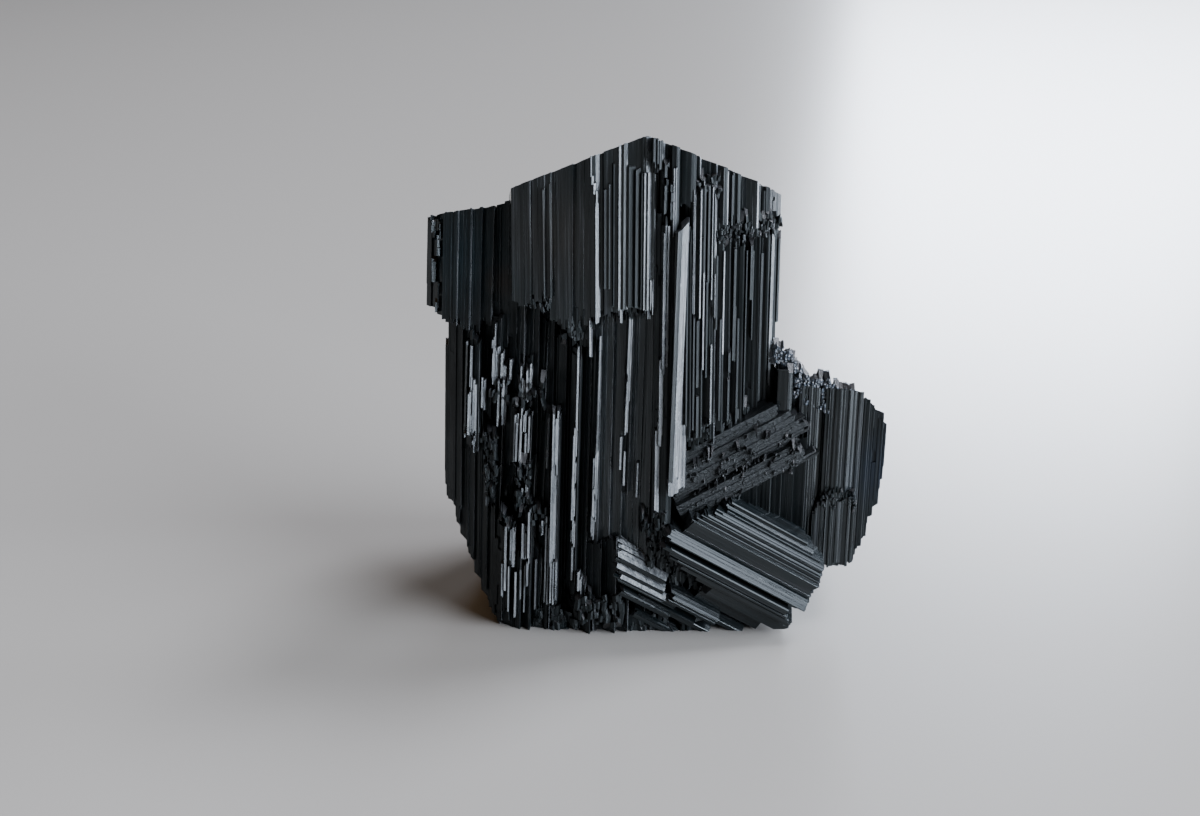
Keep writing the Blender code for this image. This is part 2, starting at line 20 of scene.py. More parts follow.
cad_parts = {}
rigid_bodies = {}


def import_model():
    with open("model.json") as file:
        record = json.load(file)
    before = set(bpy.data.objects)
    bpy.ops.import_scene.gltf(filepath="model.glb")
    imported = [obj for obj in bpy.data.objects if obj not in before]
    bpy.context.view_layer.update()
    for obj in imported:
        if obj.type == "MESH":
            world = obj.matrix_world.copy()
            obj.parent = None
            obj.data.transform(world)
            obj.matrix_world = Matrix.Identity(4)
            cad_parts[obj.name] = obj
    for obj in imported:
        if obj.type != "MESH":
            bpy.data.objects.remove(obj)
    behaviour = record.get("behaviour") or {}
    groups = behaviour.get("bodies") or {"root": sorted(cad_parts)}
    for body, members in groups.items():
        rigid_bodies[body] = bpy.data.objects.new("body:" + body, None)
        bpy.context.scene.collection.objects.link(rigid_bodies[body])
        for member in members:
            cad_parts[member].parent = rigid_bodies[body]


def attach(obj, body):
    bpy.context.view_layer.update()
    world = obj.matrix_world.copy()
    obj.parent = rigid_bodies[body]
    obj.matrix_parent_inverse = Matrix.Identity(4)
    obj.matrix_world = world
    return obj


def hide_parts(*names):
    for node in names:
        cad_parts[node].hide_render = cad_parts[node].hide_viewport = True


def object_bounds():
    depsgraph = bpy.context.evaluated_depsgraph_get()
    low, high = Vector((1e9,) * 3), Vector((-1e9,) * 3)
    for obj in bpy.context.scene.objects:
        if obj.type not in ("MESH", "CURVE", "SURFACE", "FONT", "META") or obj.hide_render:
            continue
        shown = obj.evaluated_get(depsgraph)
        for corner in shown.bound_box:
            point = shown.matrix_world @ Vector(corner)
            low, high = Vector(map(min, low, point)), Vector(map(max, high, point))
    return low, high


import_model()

CAD_BOX = [list(corner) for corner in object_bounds()]
MM = 0.001
SEED = 11
UP = Vector((0.0, 0.0, 1.0))
TO_SHARED = Vector((0.62, 1.0, 0.0))

# Prism faces, as the compass angle of each face's outward normal (0 is +X, 270 is the front). Faces from
# LIT_FROM on catch the window.
LEFT_WALL = 186.0
DARK_FACE = 227.0
LEFT_FACE = 257.0
RIGHT_FACE = 287.0
LIT_FROM = 295.0
OPEN_FACE = 303.0
GLINT_FACE = 317.0
RIGHT_WALL = 353.0

# The faces that cut the tops, as their downhill direction and slope, and outlines as (x, z) points seen
# from the front.
PEAK = Vector((-2.8, -13.0, 50.0))
CROWN_FACES = ((137.0, 27.2), (40.0, 25.0))
LEFT_TOP = ((110.0, 20.0),)
RIGHT_TOP = ((80.0, 32.0),)
RIGHT_OUTLINE = ((15.0, 4.4), (18.6, 5.4), (20.2, 8.6), (21.2, 12.4), (21.9, 15.6), (21.8, 19.4),
                 (20.6, 21.6), (18.8, 23.6))

# How far the slanting crystals lean, and how far they are turned.
RISING_SLANT = (66.0, 14.0)
FALLING_SLANT = (-59.0, 3.0)

BELOW = -1.5  # the foot of a rib that the flat cut ends
CROWN = 60.0  # the top of a rib that the crown ends
BURIED = 3.5  # how far a rib's body reaches back
SETBACK = 0.16  # how far it stands behind its splinters
FINE_STEP = 0.05  # how far below the cutting face a rib's top may end: at the slab,
CROWN_STEP = 0.16  # elsewhere at the front,
BACK_STEP = 1.3  # and at the back
LEAST_WIDTH = 0.06  # of a splinter
WIDTHS = (0.55, 1.45)  # of the splinters, as shares of their usual width
NARROW = 0.22  # a bright face up to this width is one splinter
GAP = 0.04  # between the pieces of a broken splinter
LONG = 5.0  # a splinter over this length may have a stretch broken out
WHOLE_FROM = 46.0  # and the stretch ends below this height
SHADY_EDGE = (240.0, 0.03)  # the left edge of such a splinter, as its angle and width
WELD = 0.00004  # points closer than this become one

# The surfaces, in the order of the finished piece's material slots. The etched one is a paler copy for faces
# turned to the window: painted sheen.
UPRIGHT, DULL, ETCHED_PAINTED_SHEEN, RISING, FALLING, SUGARY, BROKEN = range(7)

# How the splinters of a rib look: fine is their usual width and proud how far they step in or out. edges
# are the widths of their narrow right edges, which face between the edge angles. tilt is how far their
# faces turn about the rib's own, ragged how uneven their ends are, gaps the chance of a broken-out
# stretch, rough the steepest slope of a broken end, depth how far they reach back, and surface what they
# are made of. stretch, where given, is the least and greatest length of the pieces they are broken into.
PLAIN = {"fine": 0.36, "proud": 0.035, "edges": (0.03, 0.05, 0.07, 0.10, 0.16), "edge_angles": (288, 312),
         "tilt": 2.0, "ragged": 0.25, "gaps": 0.12, "rough": 40.0, "depth": 1.0, "surface": UPRIGHT}
DARK = {**PLAIN, "fine": 0.42, "proud": 0.05, "edges": (0.02, 0.03, 0.05, 0.08), "edge_angles": (250, 284),
        "tilt": 4.0, "ragged": 0.5, "gaps": 0.2, "surface": DULL}
BRIGHT = {**PLAIN, "fine": 0.15, "proud": 0.03, "edges": (0.01, 0.02, 0.04), "tilt": 4.0,
          "ragged": 0.45, "gaps": 0.05}
CALM = {**PLAIN, "fine": 0.9, "proud": 0.008, "edges": (0.02, 0.03), "tilt": 0.7, "ragged": 0.15,
        "gaps": 0.0}
SLAB = {**PLAIN, "fine": 0.3, "proud": 0.01, "edges": (0.02, 0.03, 0.04, 0.07),
        "edge_angles": (272, 293), "tilt": 2.0, "ragged": 0.4, "gaps": 0.0}
STRIPED = {**SLAB, "fine": 0.26, "proud": 0.02, "edge_angles": (280, 296), "tilt": 3.0}
UNEVEN = {**STRIPED, "fine": 0.3, "proud": 0.05, "edges": (0.03, 0.05, 0.08, 0.12),
          "edge_angles": (284, 298), "tilt": 7.0}
SPLIT = {**PLAIN, "fine": 0.3, "proud": 0.05, "edges": (0.02, 0.03, 0.05, 0.09), "edge_angles": (262, 306),
         "tilt": 3.0, "ragged": 0.5, "gaps": 0.25, "surface": DULL}
SHADED = {**SPLIT, "fine": 0.22, "proud": 0.015, "edges": (0.01, 0.015, 0.02, 0.04),
          "edge_angles": (250, 286), "gaps": 0.05}
CRUMBLY = {**SPLIT, "fine": 0.5, "proud": 0.03, "edges": (0.02, 0.04, 0.07), "edge_angles": (262, 292),
           "tilt": 4.0, "gaps": 0.04, "ragged": 0.55, "stretch": (2.2, 8.0)}
CHIPPED = {**BRIGHT, "fine": 0.3, "proud": 0.07, "tilt": 8.0, "gaps": 0.1, "stretch": (0.4, 1.4)}


# ---- Shaping ----

def facing(angle):
    """The horizontal direction of a compass angle."""
    return Vector((cos(radians(angle)), sin(radians(angle)), 0.0))


def along(angle):
    """The horizontal direction along a face with that compass angle, from its left to its right."""
    return Vector((-sin(radians(angle)), cos(radians(angle)), 0.0))


def slice_off(bm, point, outward, surface=None):
    """Cuts away what lies beyond a plane and closes the cut."""
    everything = bm.verts[:] + bm.edges[:] + bm.faces[:]
    cut = bmesh.ops.bisect_plane(bm, geom=everything, plane_co=point, plane_no=outward, clear_outer=True)
    rim = [item for item in cut["geom_cut"] if isinstance(item, bmesh.types.BMEdge)]
    made = bmesh.ops.contextual_create(bm, geom=rim)["faces"] if rim else ()
    for face in made:
        if surface is not None:
            face.material_index = surface


def break_end(bm, dice, end, direction, steepest):
    """Breaks an end off along a slanting plane; direction is 1 for the top and -1 for the foot."""
    slope = radians(dice.uniform(0.2, 1.0) * steepest)
    outward = facing(dice.uniform(0.0, 360.0)) * sin(slope)
    outward.z = direction * cos(slope)
    slice_off(bm, end, outward, BROKEN)


def column(corner, faces, depth, foot, top, surface):
    """A closed column. On the plan it starts at its left front corner and runs along its front faces,
    each given by its compass angle and width, then straight back."""
    plan = [corner.copy()]
    for angle, width in faces:
        plan.append(plan[-1] + along(angle) * width)
    plan.append(plan[-1] + along(RIGHT_WALL) * depth)
    plan.append(corner - along(LEFT_WALL) * depth)
    bm = bmesh.new()
    bm.faces.new([bm.verts.new((point.x, point.y, foot)) for point in plan])
    grown = bmesh.ops.extrude_face_region(bm, geom=bm.faces[:])
    raised = [item for item in grown["geom"] if isinstance(item, bmesh.types.BMVert)]
    bmesh.ops.translate(bm, vec=UP * (top - foot), verts=raised)
    for face in bm.faces:
        face.material_index = surface
    return bm


def splinter(corner, faces, depth, foot, top, dice, rough, surface):
    """A column with its own broken ends, unless the crown or the flat cut takes them off."""
    spare = 0.8
    low, high = foot, min(top, CROWN)
    bm = column(corner, faces, depth, low - spare, high + spare, surface)
    if top < CROWN:
        break_end(bm, dice, corner + UP * high, 1, rough)
    if foot > BELOW:
        break_end(bm, dice, corner + UP * low, -1, rough)
    return bm


def stretches(low, high, look, dice):
    """The lengths of one splinter: whole, with one stretch broken out, or in many short pieces."""
    if "stretch" in look:
        cuts = [low]
        while cuts[-1] < high:
            cuts.append(cuts[-1] + dice.uniform(*look["stretch"]))
        cuts[-1] = high + GAP
        return [(foot, top - GAP) for foot, top in zip(cuts, cuts[1:]) if dice.random() > look["gaps"]]
    end = min(high, WHOLE_FROM)
    if dice.random() < look["gaps"] and end - low > LONG:
        middle = dice.uniform(low + 1.2, end - 2.5)
        return [(low, middle), (middle + dice.uniform(0.3, 1.8), high)]
    return [(low, high)] if high - low > 0.3 else []


def row_of_splinters(start, angle, length, foot, top, dice, look, surface):
    """Splinters side by side along one face of a rib, each a little proud or sunk and with its own ends."""
    bundle = []
    done = 0.0
    while done < length - LEAST_WIDTH:
        width = min(dice.uniform(*WIDTHS) * look["fine"], length - done)
        edge = min(0.5 * width, dice.choice(look["edges"]))
        tilt = dice.gauss(0.0, look["tilt"])
        if angle < LIT_FROM:
            faces = [(angle + tilt, width - edge), (dice.uniform(*look["edge_angles"]), edge)]
        else:
            faces = [(dice.uniform(240.0, 280.0), 0.3 * edge), (angle + tilt, width - 0.3 * edge)]
        low = foot - dice.gauss(0.0, look["ragged"]) if foot > BELOW else foot
        high = top + dice.gauss(0.0, look["ragged"]) if top < CROWN else top
        for span_foot, span_top in stretches(low, high, look, dice):
            out = dice.gauss(0.0, look["proud"])
            corner = start + along(angle) * done + facing(angle) * out
            bundle.append(splinter(corner, faces, look["depth"], span_foot, span_top, dice, look["rough"],
                                   surface))
        done += width
    return bundle


def turned(angle, axis):
    """A turn about an axis, in degrees."""
    return Matrix.Rotation(radians(angle), 4, axis)


def moved(bundle, matrix):
    """Moves a whole bundle."""
    for bm in bundle:
        bmesh.ops.transform(bm, matrix=matrix, verts=bm.verts)
    return bundle


def tipped(bundle, lean, middle_x, front, foot, top):
    """Leans a bundle about the middle of its height; a positive lean takes the top towards +X."""
    pivot = Vector((middle_x, front, (foot + min(top, PEAK.z)) / 2.0))
    return moved(bundle, Matrix.Translation(pivot) @ turned(lean, "Y") @ Matrix.Translation(-pivot))


def rib(left, right, front, foot, top, ridge=0.6, glint=GLINT_FACE, back=BURIED, lean=0.0, rough=18.0,
        look=PLAIN, surface=None, left_face=LEFT_FACE, lit=None):
    """One rib: its plain body, set back a little, and the splinters on its two front faces, which meet in
    a ridge. ridge is the share of the width to its left, glint the compass angle of the face to its right,
    and lit what that face is made of."""
    dice = random.Random(f"{left:.2f} {front:.2f} {foot:.2f} {SEED}")
    surface = look["surface"] if surface is None else surface
    width = right - left
    crest = Vector((left + ridge * width, front, 0.0))
    left_length = ridge * width / cos(radians(270.0 - left_face))
    right_length = (1.0 - ridge) * width / cos(radians(glint - 270.0))
    start = crest - along(left_face) * left_length
    behind = Vector((0.0, SETBACK, 0.0))
    body_faces = ((left_face, left_length), (glint, right_length))
    body_foot = foot + dice.uniform(0.1, 0.5) if foot > BELOW else foot
    body_top = top - dice.uniform(0.1, 0.5) if top < CROWN else top
    bundle = [splinter(start + behind, body_faces, back, body_foot, body_top, dice, rough, surface)]
    bundle += row_of_splinters(start, left_face, left_length, foot, top, dice, look, surface)
    # Faces turned to the window get the paler etched copy, a painted sheen, unless lit says otherwise.
    if lit is None:
        lit = ETCHED_PAINTED_SHEEN if surface in (UPRIGHT, DULL) and glint > LIT_FROM else surface
    bundle += row_of_splinters(crest, glint, right_length, foot, top, dice, look, lit)
    return tipped(bundle, lean, (left + right) / 2.0, front, foot, top)


def dark_ribs(rows, **common):
    """Ribs for rows of (left, right, front, foot, top) whose broad face is turned to the left, away from
    the light. They stand behind one another like saw teeth."""
    settings = {"ridge": 0.96, "glint": RIGHT_WALL, "left_face": DARK_FACE, "look": DARK, **common}
    return [bm for row in rows for bm in rib(*row, **settings)]


def bright_faces(rows, lean=0.0, look=BRIGHT, surface=ETCHED_PAINTED_SHEEN):
    """Narrow faces turned to the light, for rows of (left, right, front, foot, top, angle). By default they
    are made of the paler etched copy, a painted sheen.
    """
    bundle = []
    for left, right, front, foot, top, angle in rows:
        dice = random.Random(f"{left:.2f} {foot:.2f} {SEED}")
        length = (right - left) / cos(radians(angle - 270.0))
        start = Vector((left, front, 0.0))
        if length > NARROW:
            group = row_of_splinters(start, angle, length, foot, top, dice, look, surface)
        else:
            group = [splinter(start, (SHADY_EDGE, (angle, length)), 1.3, foot, top, dice, 35.0, surface)]
        bundle += tipped(group, lean, (left + right) / 2.0, front, foot, top)
    return bundle


def ribs(rows, **common):
    """The ribs for rows of (left, right, front, foot, top, ridge, glint)."""
    return [bm for row in rows for bm in rib(*row, **common)]


def box(left, right, front, back, foot, top):
    """A box between six limits."""
    middle = Vector((left + right, front + back, foot + top)) / 2.0
    size = Matrix.Diagonal((right - left, back - front, top - foot, 1.0))
    bm = bmesh.new()
    bmesh.ops.create_cube(bm, size=1.0, matrix=Matrix.Translation(middle) @ size)
    return bm


def trimmed(bundle, point, faces, step=CROWN_STEP):
    """Cuts every rib of a bundle with low faces through one point, each rib up to a step lower.

    Each face is given by its downhill direction and its slope, in degrees.
    """
    dice = random.Random(f"{point.x:.2f} {step:.2f} {SEED}")
    for bm in bundle:
        corner = point - UP * dice.uniform(0.0, step)
        for downhill, slope in faces:
            outward = facing(downhill) * sin(radians(slope))
            outward.z = cos(radians(slope))
            slice_off(bm, corner, outward, BROKEN)
    return bundle


def undercut(bundle, front, dice):
    """Slopes the foot of every rib of a bundle inwards, from the front down to the flat cut."""
    for bm in bundle:
        outward = Vector((dice.uniform(-0.2, 0.2), -0.66, -0.75)).normalized()
        slice_off(bm, Vector((0.0, front + dice.uniform(-0.2, 0.2), 0.0)), outward)
    return bundle


def rubble(*rows):
    """Small broken pieces strewn over a face, for rows of (left, right, foot, top, size, count) and, where
    they aren't dull, their surface; left and right are (x, y) on the plan."""
    bundle = []
    for left, right, foot, top, size, count, *given in rows:
        surface = given[0] if given else DULL
        dice = random.Random(f"{left[0]:.2f} {foot:.2f} {SEED}")
        for _ in range(count):
            spot = Vector(left).lerp(Vector(right), dice.random())
            corner = Vector((spot.x, spot.y + dice.uniform(-0.25, 0.15), 0.0))
            low = dice.uniform(foot, top)
            turn = dice.uniform(225.0, 300.0)
            faces = ((turn, size * dice.uniform(0.4, 1.0)), (turn + 55.0, size * dice.uniform(0.2, 0.7)))
            piece = splinter(corner, faces, 1.4, low, low + size * dice.uniform(0.7, 2.6), dice, 55.0,
                             surface)
            bundle += tipped([piece], dice.uniform(-12.0, 12.0), spot.x, spot.y, low, low + size)
    return bundle


def cut_to_outline(bundle, points, wobble, dice):
    """Ends every rib of a bundle bluntly where it leaves an outline, up to a wobble early or late, and
    drops the ribs outside. The outline's points (x, z) are seen from the front with the inside to their
    left."""
    for bm in [piece for piece in bundle if piece.verts]:
        front = min(vert.co.y for vert in bm.verts)
        middle_z = (min(vert.co.z for vert in bm.verts) + max(vert.co.z for vert in bm.verts)) / 2.0
        upper = [vert.co.copy() for vert in bm.verts if vert.co.z > middle_z]
        lower = [vert.co.copy() for vert in bm.verts if vert.co.z <= middle_z]
        foot, top = sum(lower, Vector()) / len(lower), sum(upper, Vector()) / len(upper)
        for start, end in zip(points, points[1:]):
            outward = Vector((end[1] - start[1], 0.0, start[0] - end[0])).normalized()
            spot = Vector((start[0], front, start[1]))
            below, above = (foot - spot).dot(outward), (top - spot).dot(outward)
            if min(below, above) > 0.0:
                bmesh.ops.delete(bm, geom=bm.verts[:], context="VERTS")
                break
            if below * above < 0.0:
                crossing = foot.lerp(top, below / (below - above))
                crossing += (top - foot).normalized() * dice.uniform(-wobble, wobble)
                way = 1.0 if above > 0.0 else -1.0
                outward = Vector((0.6 * outward.x + dice.uniform(-0.3, 0.3), 0.0, way))
                outward.y = 0.7 if way > 0.0 else 0.0
                slice_off(bm, Vector((crossing.x, front, crossing.z)), outward)
                if not bm.verts:
                    break
    return bundle


def crowned(bundle, step=CROWN_STEP):
    """Cuts every rib of a bundle with the crown's two faces."""
    return trimmed(bundle, PEAK, CROWN_FACES, step)


def placed(bundle, middle, lean, turn):
    """Turns a bundle made upright at zero to a slanting crystal's place."""
    return moved(bundle, Matrix.Translation(middle) @ turned(turn, "Z") @ turned(lean, "Y"))


def fence(path, spacing, foot, top, dice, back):
    """Ribs side by side along a path on the plan, facing away from the cluster's middle.

    foot and top are the lowest and highest values that each rib's own foot and top may take, and back is
    how far the ribs reach inwards.
    """
    bundle = []
    for start, end in zip(path, path[1:]):
        start = Vector(start)
        run = Vector(end) - start
        count = max(1, round(run.length / spacing))
        step = run.length / count
        away = degrees(atan2(run.y, run.x))
        for i in range(count):
            width = step * dice.uniform(1.1, 1.35)
            reach = dice.uniform(-0.5, 0.5)
            glint = dice.choice((RIGHT_FACE, GLINT_FACE))
            group = rib(-width / 2.0, width / 2.0, reach, dice.uniform(*foot), dice.uniform(*top),
                        ridge=dice.uniform(0.2, 0.8), glint=glint, back=back, rough=30.0)
            spot = start + run * ((i + 0.5) / count)
            bundle += moved(group, Matrix.Translation((spot.x, spot.y, 0.0)) @ turned(away, "Z"))
    return bundle


# ---- The crystals ----

def main_body():
    """The tall crystal's inside."""
    middle = box(-15.2, 1.4, -9.6, 2.4, BELOW - 0.2, CROWN)
    slice_off(middle, Vector((1.2, -9.6, 0.0)), facing(GLINT_FACE))
    right = box(-2.0, 9.6, -11.4, 3.1, BELOW - 0.4, CROWN + 1.0)
    slice_off(right, Vector((0.0, -11.4, 0.0)), facing(313.0))
    left = box(-18.2, -13.0, -7.6, 4.0, BELOW, 40.0)
    slice_off(left, Vector((-17.4, -4.0, 2.0)), Vector((-0.9, 0.3, -0.36)))
    back_left = box(-14.6, -4.0, 1.2, 9.6, BELOW - 0.6, CROWN + 0.3)
    back_middle = box(-5.3, 3.0, 0.6, 10.4, BELOW - 0.8, CROWN + 0.6)
    back_right = box(1.8, 8.4, 1.8, 8.3, BELOW - 0.9, CROWN + 0.9)
    return crowned([middle, right, left]) + crowned([back_left, back_middle, back_right], BACK_STEP)


def front_slab():
    """The thick slab at the top front; its ribs break off at different heights over the recess."""
    left_half = (
        (-15.06, -13.25, -12.9, 34.4, CROWN, 0.96), (-13.42, -11.98, -13, 34.7, CROWN, 0.96),
        (-12.15, -11.34, -13.1, 34.8, CROWN, 0.93), (-11.53, -9.45, -13.2, 32.7, CROWN, 0.97),
        (-9.63, -7.72, -13.2, 32.8, CROWN, 0.97),
    )
    right_half = (
        (-7.9, -7, -13.4, 33.4, CROWN, 0.6, OPEN_FACE), (-7.18, -6.46, -12.9, 33.3, CROWN, 0.6, RIGHT_FACE),
        (-6.64, -5.83, -13.4, 33.5, CROWN, 0.7, RIGHT_FACE),
        (-6.01, -4.92, -13.4, 33.7, CROWN, 0.75, OPEN_FACE),
        (-5.1, -4.38, -13.5, 33.8, CROWN, 0.65, OPEN_FACE),
        (-4.56, -3.03, -13.5, 34.1, CROWN, 0.85, RIGHT_FACE),
        (-3.22, -2.4, -13.7, 33.9, CROWN, 0.45, OPEN_FACE),
        (-2.48, -1.94, -13.3, 33.8, CROWN, 0.55, RIGHT_FACE),
    )
    hanging = (
        (-9.6, -8.8, -12.9, 30.9, 34, 0.7, RIGHT_FACE), (-8.9, -7.9, -12.8, 30.4, 34, 0.8, RIGHT_FACE),
        (-8.11, -7.84, -13.2, 30.3, 34, 0.3, OPEN_FACE),
    )
    bright = (
        (-7.84, -7.76, -13.8, 46.5, CROWN, 300), (-7.76, -7.6, -13.8, 45.8, 46.6, 303),
        (-7.56, -7.36, -13.8, 45.1, 46, 303), (-7.36, -7.24, -13.8, 43.8, 45.3, 300),
        (-7.41, -7.14, -13.8, 32.9, 44, 303), (-5.33, -5.13, -13.8, 34, CROWN, 302),
        (-3.04, -2.8, -14, 34.1, 46.7, 303), (-2.74, -2.58, -14, 34.1, 46.9, 303),
    )
    sheen = (
        (-4.89, -4.69, -13.8, 34, CROWN, 300), (-3.3, -3.04, -13.9, 34.2, 46.9, 296),
    )
    glow = (
        (-4.4, -3.76, -13.75, 34.3, 47.4, 293), (-3.8, -3.26, -13.85, 34.2, 47.2, 297),
    )
    soft = (
        (-6.64, -6.46, -13.7, 36.1, 45.3, 297), (-6.22, -6.1, -13.7, 36.1, 45.8, 300),
        (-12.17, -12.07, -13.3, 35, 45.2, 296), (-11.57, -11.47, -13.3, 35, 45.7, 296),
        (-5.8, -5.72, -13.7, 34.4, 47.6, 298),
    )
    bundle = (crowned(ribs(left_half, glint=RIGHT_FACE, lean=0.6, back=4.2, look=SLAB, left_face=254.0),
                      FINE_STEP)
              + crowned(ribs(right_half, lean=-0.3, back=4.2, look=SLAB, left_face=266.0), FINE_STEP)
              + ribs(hanging, look=SPLIT))
    for rows, look, surface in ((bright, CALM, ETCHED_PAINTED_SHEEN), (sheen, CALM, UPRIGHT), (glow, CALM, DULL),
                                (soft, BRIGHT, DULL)):
        bundle += crowned(bright_faces(rows, 0.0, look, surface), FINE_STEP)
    return bundle + rubble(((-10.9, -12.7), (-8, -12.9), 30.9, 33.2, 0.35, 40),
                           ((-13.6, -12.4), (-11.6, -12.8), 33.6, 34.8, 0.3, 16),
                           ((-6.5, -12.9), (-2.4, -13.2), 33, 34, 0.28, 24))


def front_corner():
    """The corner under the peak: hanging blocks, niches and the broad bright strip."""
    rows = (
        (-2.4, -1.2, -13.9, 47.2, CROWN, 0.3, GLINT_FACE), (-2.5, -2, -13.3, 33.5, 36.4, 0.2, GLINT_FACE),
        (-0.6, 0.1, -13.5, 41.2, CROWN, 0.55, 293), (0, 1.6, -12.9, 44.1, CROWN, 0.72, 294),
        (-2.9, -1.6, -12.4, 9.5, 33, 0.6, RIGHT_FACE), (-2, -0.2, -13.4, 12.4, 42, 0.75, RIGHT_FACE),
        (-1.6, -0.6, -12.9, 12.4, CROWN, 0.75, RIGHT_FACE),
    )
    hanging = (
        (-2.3, -2.06, -14.4, 47.5, CROWN, 303), (-1.95, -1.85, -14.3, 47.8, CROWN, 298),
        (-1.71, -1.47, -14.2, 47.6, CROWN, 309),
    )
    bright = (
        (-2.42, -2.06, -13.8, 34, 36.7, 303), (-1.24, -0.69, -14, 28.4, 42.1, 303),
        (-1.46, -1.08, -13.9, 21.3, 29.3, 303), (-1.73, -1.35, -13.8, 13.6, 22.2, 301),
        (-0.4, -0.13, -13.9, 41.4, 46.6, 312),
    )
    chipped = (
        (-1.29, -0.79, -14, 42.1, 47, 300), (-0.7, -0.5, -13.9, 42, 46, 306),
        (-1.9, -1.3, -13.4, 36, 38, 300),
    )
    behind_strip = (-0.2, 1.2, -14.1, 15.8, 41.4, 0.1)
    strip = (0.16, 0.78, -14.2, 17.2, 41.8, 314)
    strip_edge = (-0.22, 0.18, -14.46, 17.2, 41.6, 308)
    strip_foot = (-0.46, 0.02, -14.4, 15.8, 17.6, 307)
    return (crowned(ribs(rows, look=SPLIT)) + rib(*behind_strip, look=CALM) + crowned(bright_faces(bright))
            + crowned(bright_faces(hanging, surface=DULL))
            + bright_faces(chipped, look=CHIPPED, surface=DULL) + bright_faces((strip,), 1.1, CALM)
            + bright_faces((strip_edge,), 1.1, CALM, UPRIGHT) + bright_faces((strip_foot,), look=CALM))


def right_front():
    """The face that runs back from the corner, crossed by a rough break under the crown."""
    above_break = (
        (1.35, 2.56, -12.4, 33, 45.4, 0.95, GLINT_FACE), (2.5, 3.62, -11.7, 33, 45.3, 0.95, GLINT_FACE),
        (0.9, 2.3, -11.9, 20, CROWN, 0.94, GLINT_FACE), (2.2, 3.8, -11.2, 20, CROWN, 0.94, GLINT_FACE),
        (3.4, 4.6, -11, 41, CROWN, 0.85, 294), (4.4, 5.9, -10.3, 41.4, CROWN, 0.8, 293),
        (7.5, 8.9, -7.7, 41, 44.6, 0.75, 293),
    )
    flat_facet = (5.4, 7.7, -9.0, 40.5, CROWN, 0.93)
    bluish = (8.5, 10.2, -6.9, 40.7, CROWN, 0.12)
    below_break = (
        (0.07, 1.46, -12.9, 21.1, 41.2, 0.96, 294), (1.35, 2.56, -12.3, 20.9, 36, 0.92, 294),
        (2.5, 3.62, -11.6, 21.5, 36.5, 0.95, 290), (3.5, 4.62, -10.9, 21.4, 40.7, 0.9, 293),
        (4.47, 5.3, -10.3, 21.5, 40.2, 0.92, 290), (5.2, 6.6, -9.6, 21.1, 39.9, 0.96, 294),
        (6.45, 8.27, -8.3, 21.2, 39.7, 0.98, 290), (8.14, 9.2, -7.5, 21.2, 40.6, 0.92, 294),
    )
    last_below = (9.09, 10.06, -6.7, 21.4, 40.1, 0.50, 294.0)
    bright = (
        (1.51, 1.71, -13, 33.1, 45.2, 312), (2.12, 2.22, -12.8, 33, 45.1, 310),
        (3.26, 3.34, -11.8, 34.5, 45.1, 304), (4.61, 4.71, -10.8, 41.4, 46.3, 304),
    )
    low_bright = (
        (9.35, 9.65, -7.3, 24.1, 39.4, 308), (4.5, 4.6, -11.1, 28.9, 39, 312),
        (2.53, 2.66, -12.6, 27.9, 37.3, 312), (3.43, 3.56, -12, 22.1, 30.2, 308),
    )
    soft_above = (
        (4.22, 4.45, -11.1, 41.5, 46.4, 308), (5.05, 5.3, -10.6, 41.6, 46.2, 304),
        (7.8, 7.92, -8.4, 41.3, 44.5, 306), (2.47, 2.6, -12.4, 36.2, 45.4, 300),
        (2.85, 3.02, -12.1, 36.2, 45.3, 300),
    )
    soft_below = (
        (9.02, 9.22, -7.4, 26.1, 39.1, 310), (10.1, 10.32, -6.6, 29.9, 38.9, 304),
        (6.3, 6.62, -9.5, 30.8, 39.6, 300), (6.8, 6.9, -9.4, 22.6, 38.6, 300),
        (1.7, 1.84, -12.9, 21.9, 33, 300), (2.1, 2.34, -12.7, 21.9, 31.9, 305),
        (2.86, 3, -12.3, 27, 36.3, 298), (3.79, 3.98, -11.5, 31.5, 38.1, 302),
        (5.5, 5.84, -9.9, 27.9, 39.7, 298), (5.22, 5.42, -10.7, 22.3, 29.2, 304),
        (7.1, 7.34, -9.2, 33.6, 38.9, 302), (4.29, 4.46, -11.3, 22.3, 32.4, 302),
        (6.05, 6.25, -9.8, 22.2, 31.9, 300), (7.42, 7.52, -8.9, 29.6, 38.5, 300),
        (8.3, 8.52, -8.2, 23.2, 38.4, 303), (0.98, 1.1, -13.4, 22.4, 40.6, 300),
    )
    upper = (ribs(above_break, lean=-0.9, rough=30.0, back=5.0, look=SPLIT)
             + rib(*flat_facet, lean=-0.9, rough=30.0, back=5.0, look=CALM)
             + rib(*bluish, lean=-0.9, rough=30.0, back=2.4, lit=UPRIGHT)
             + bright_faces(bright, lean=-0.5) + bright_faces(soft_above, lean=-0.5, surface=DULL))
    lower = (ribs(below_break, lean=-0.9, rough=35.0, back=5.0, look=SPLIT)
             + rib(*last_below, lean=-0.9, rough=35.0, back=2.0, look=SPLIT)
             + bright_faces(soft_below, lean=-0.6, look=SPLIT, surface=DULL))
    # Broken bits along the break; some are of the paler etched copy, painted glints.
    broken = rubble(((3.6, -11.3), (10, -6.9), 39.6, 41.3, 0.28, 90),
                    ((3.6, -11.4), (9.8, -7.1), 39.8, 41, 0.14, 16, ETCHED_PAINTED_SHEEN),
                    ((1.6, -12.4), (4, -11.4), 44.2, 45.6, 0.3, 16),
                    ((1.2, -12.9), (9.4, -7.2), 20.4, 22.2, 0.35, 40))
    return crowned(upper) + lower + bright_faces(low_bright, lean=-0.6) + broken


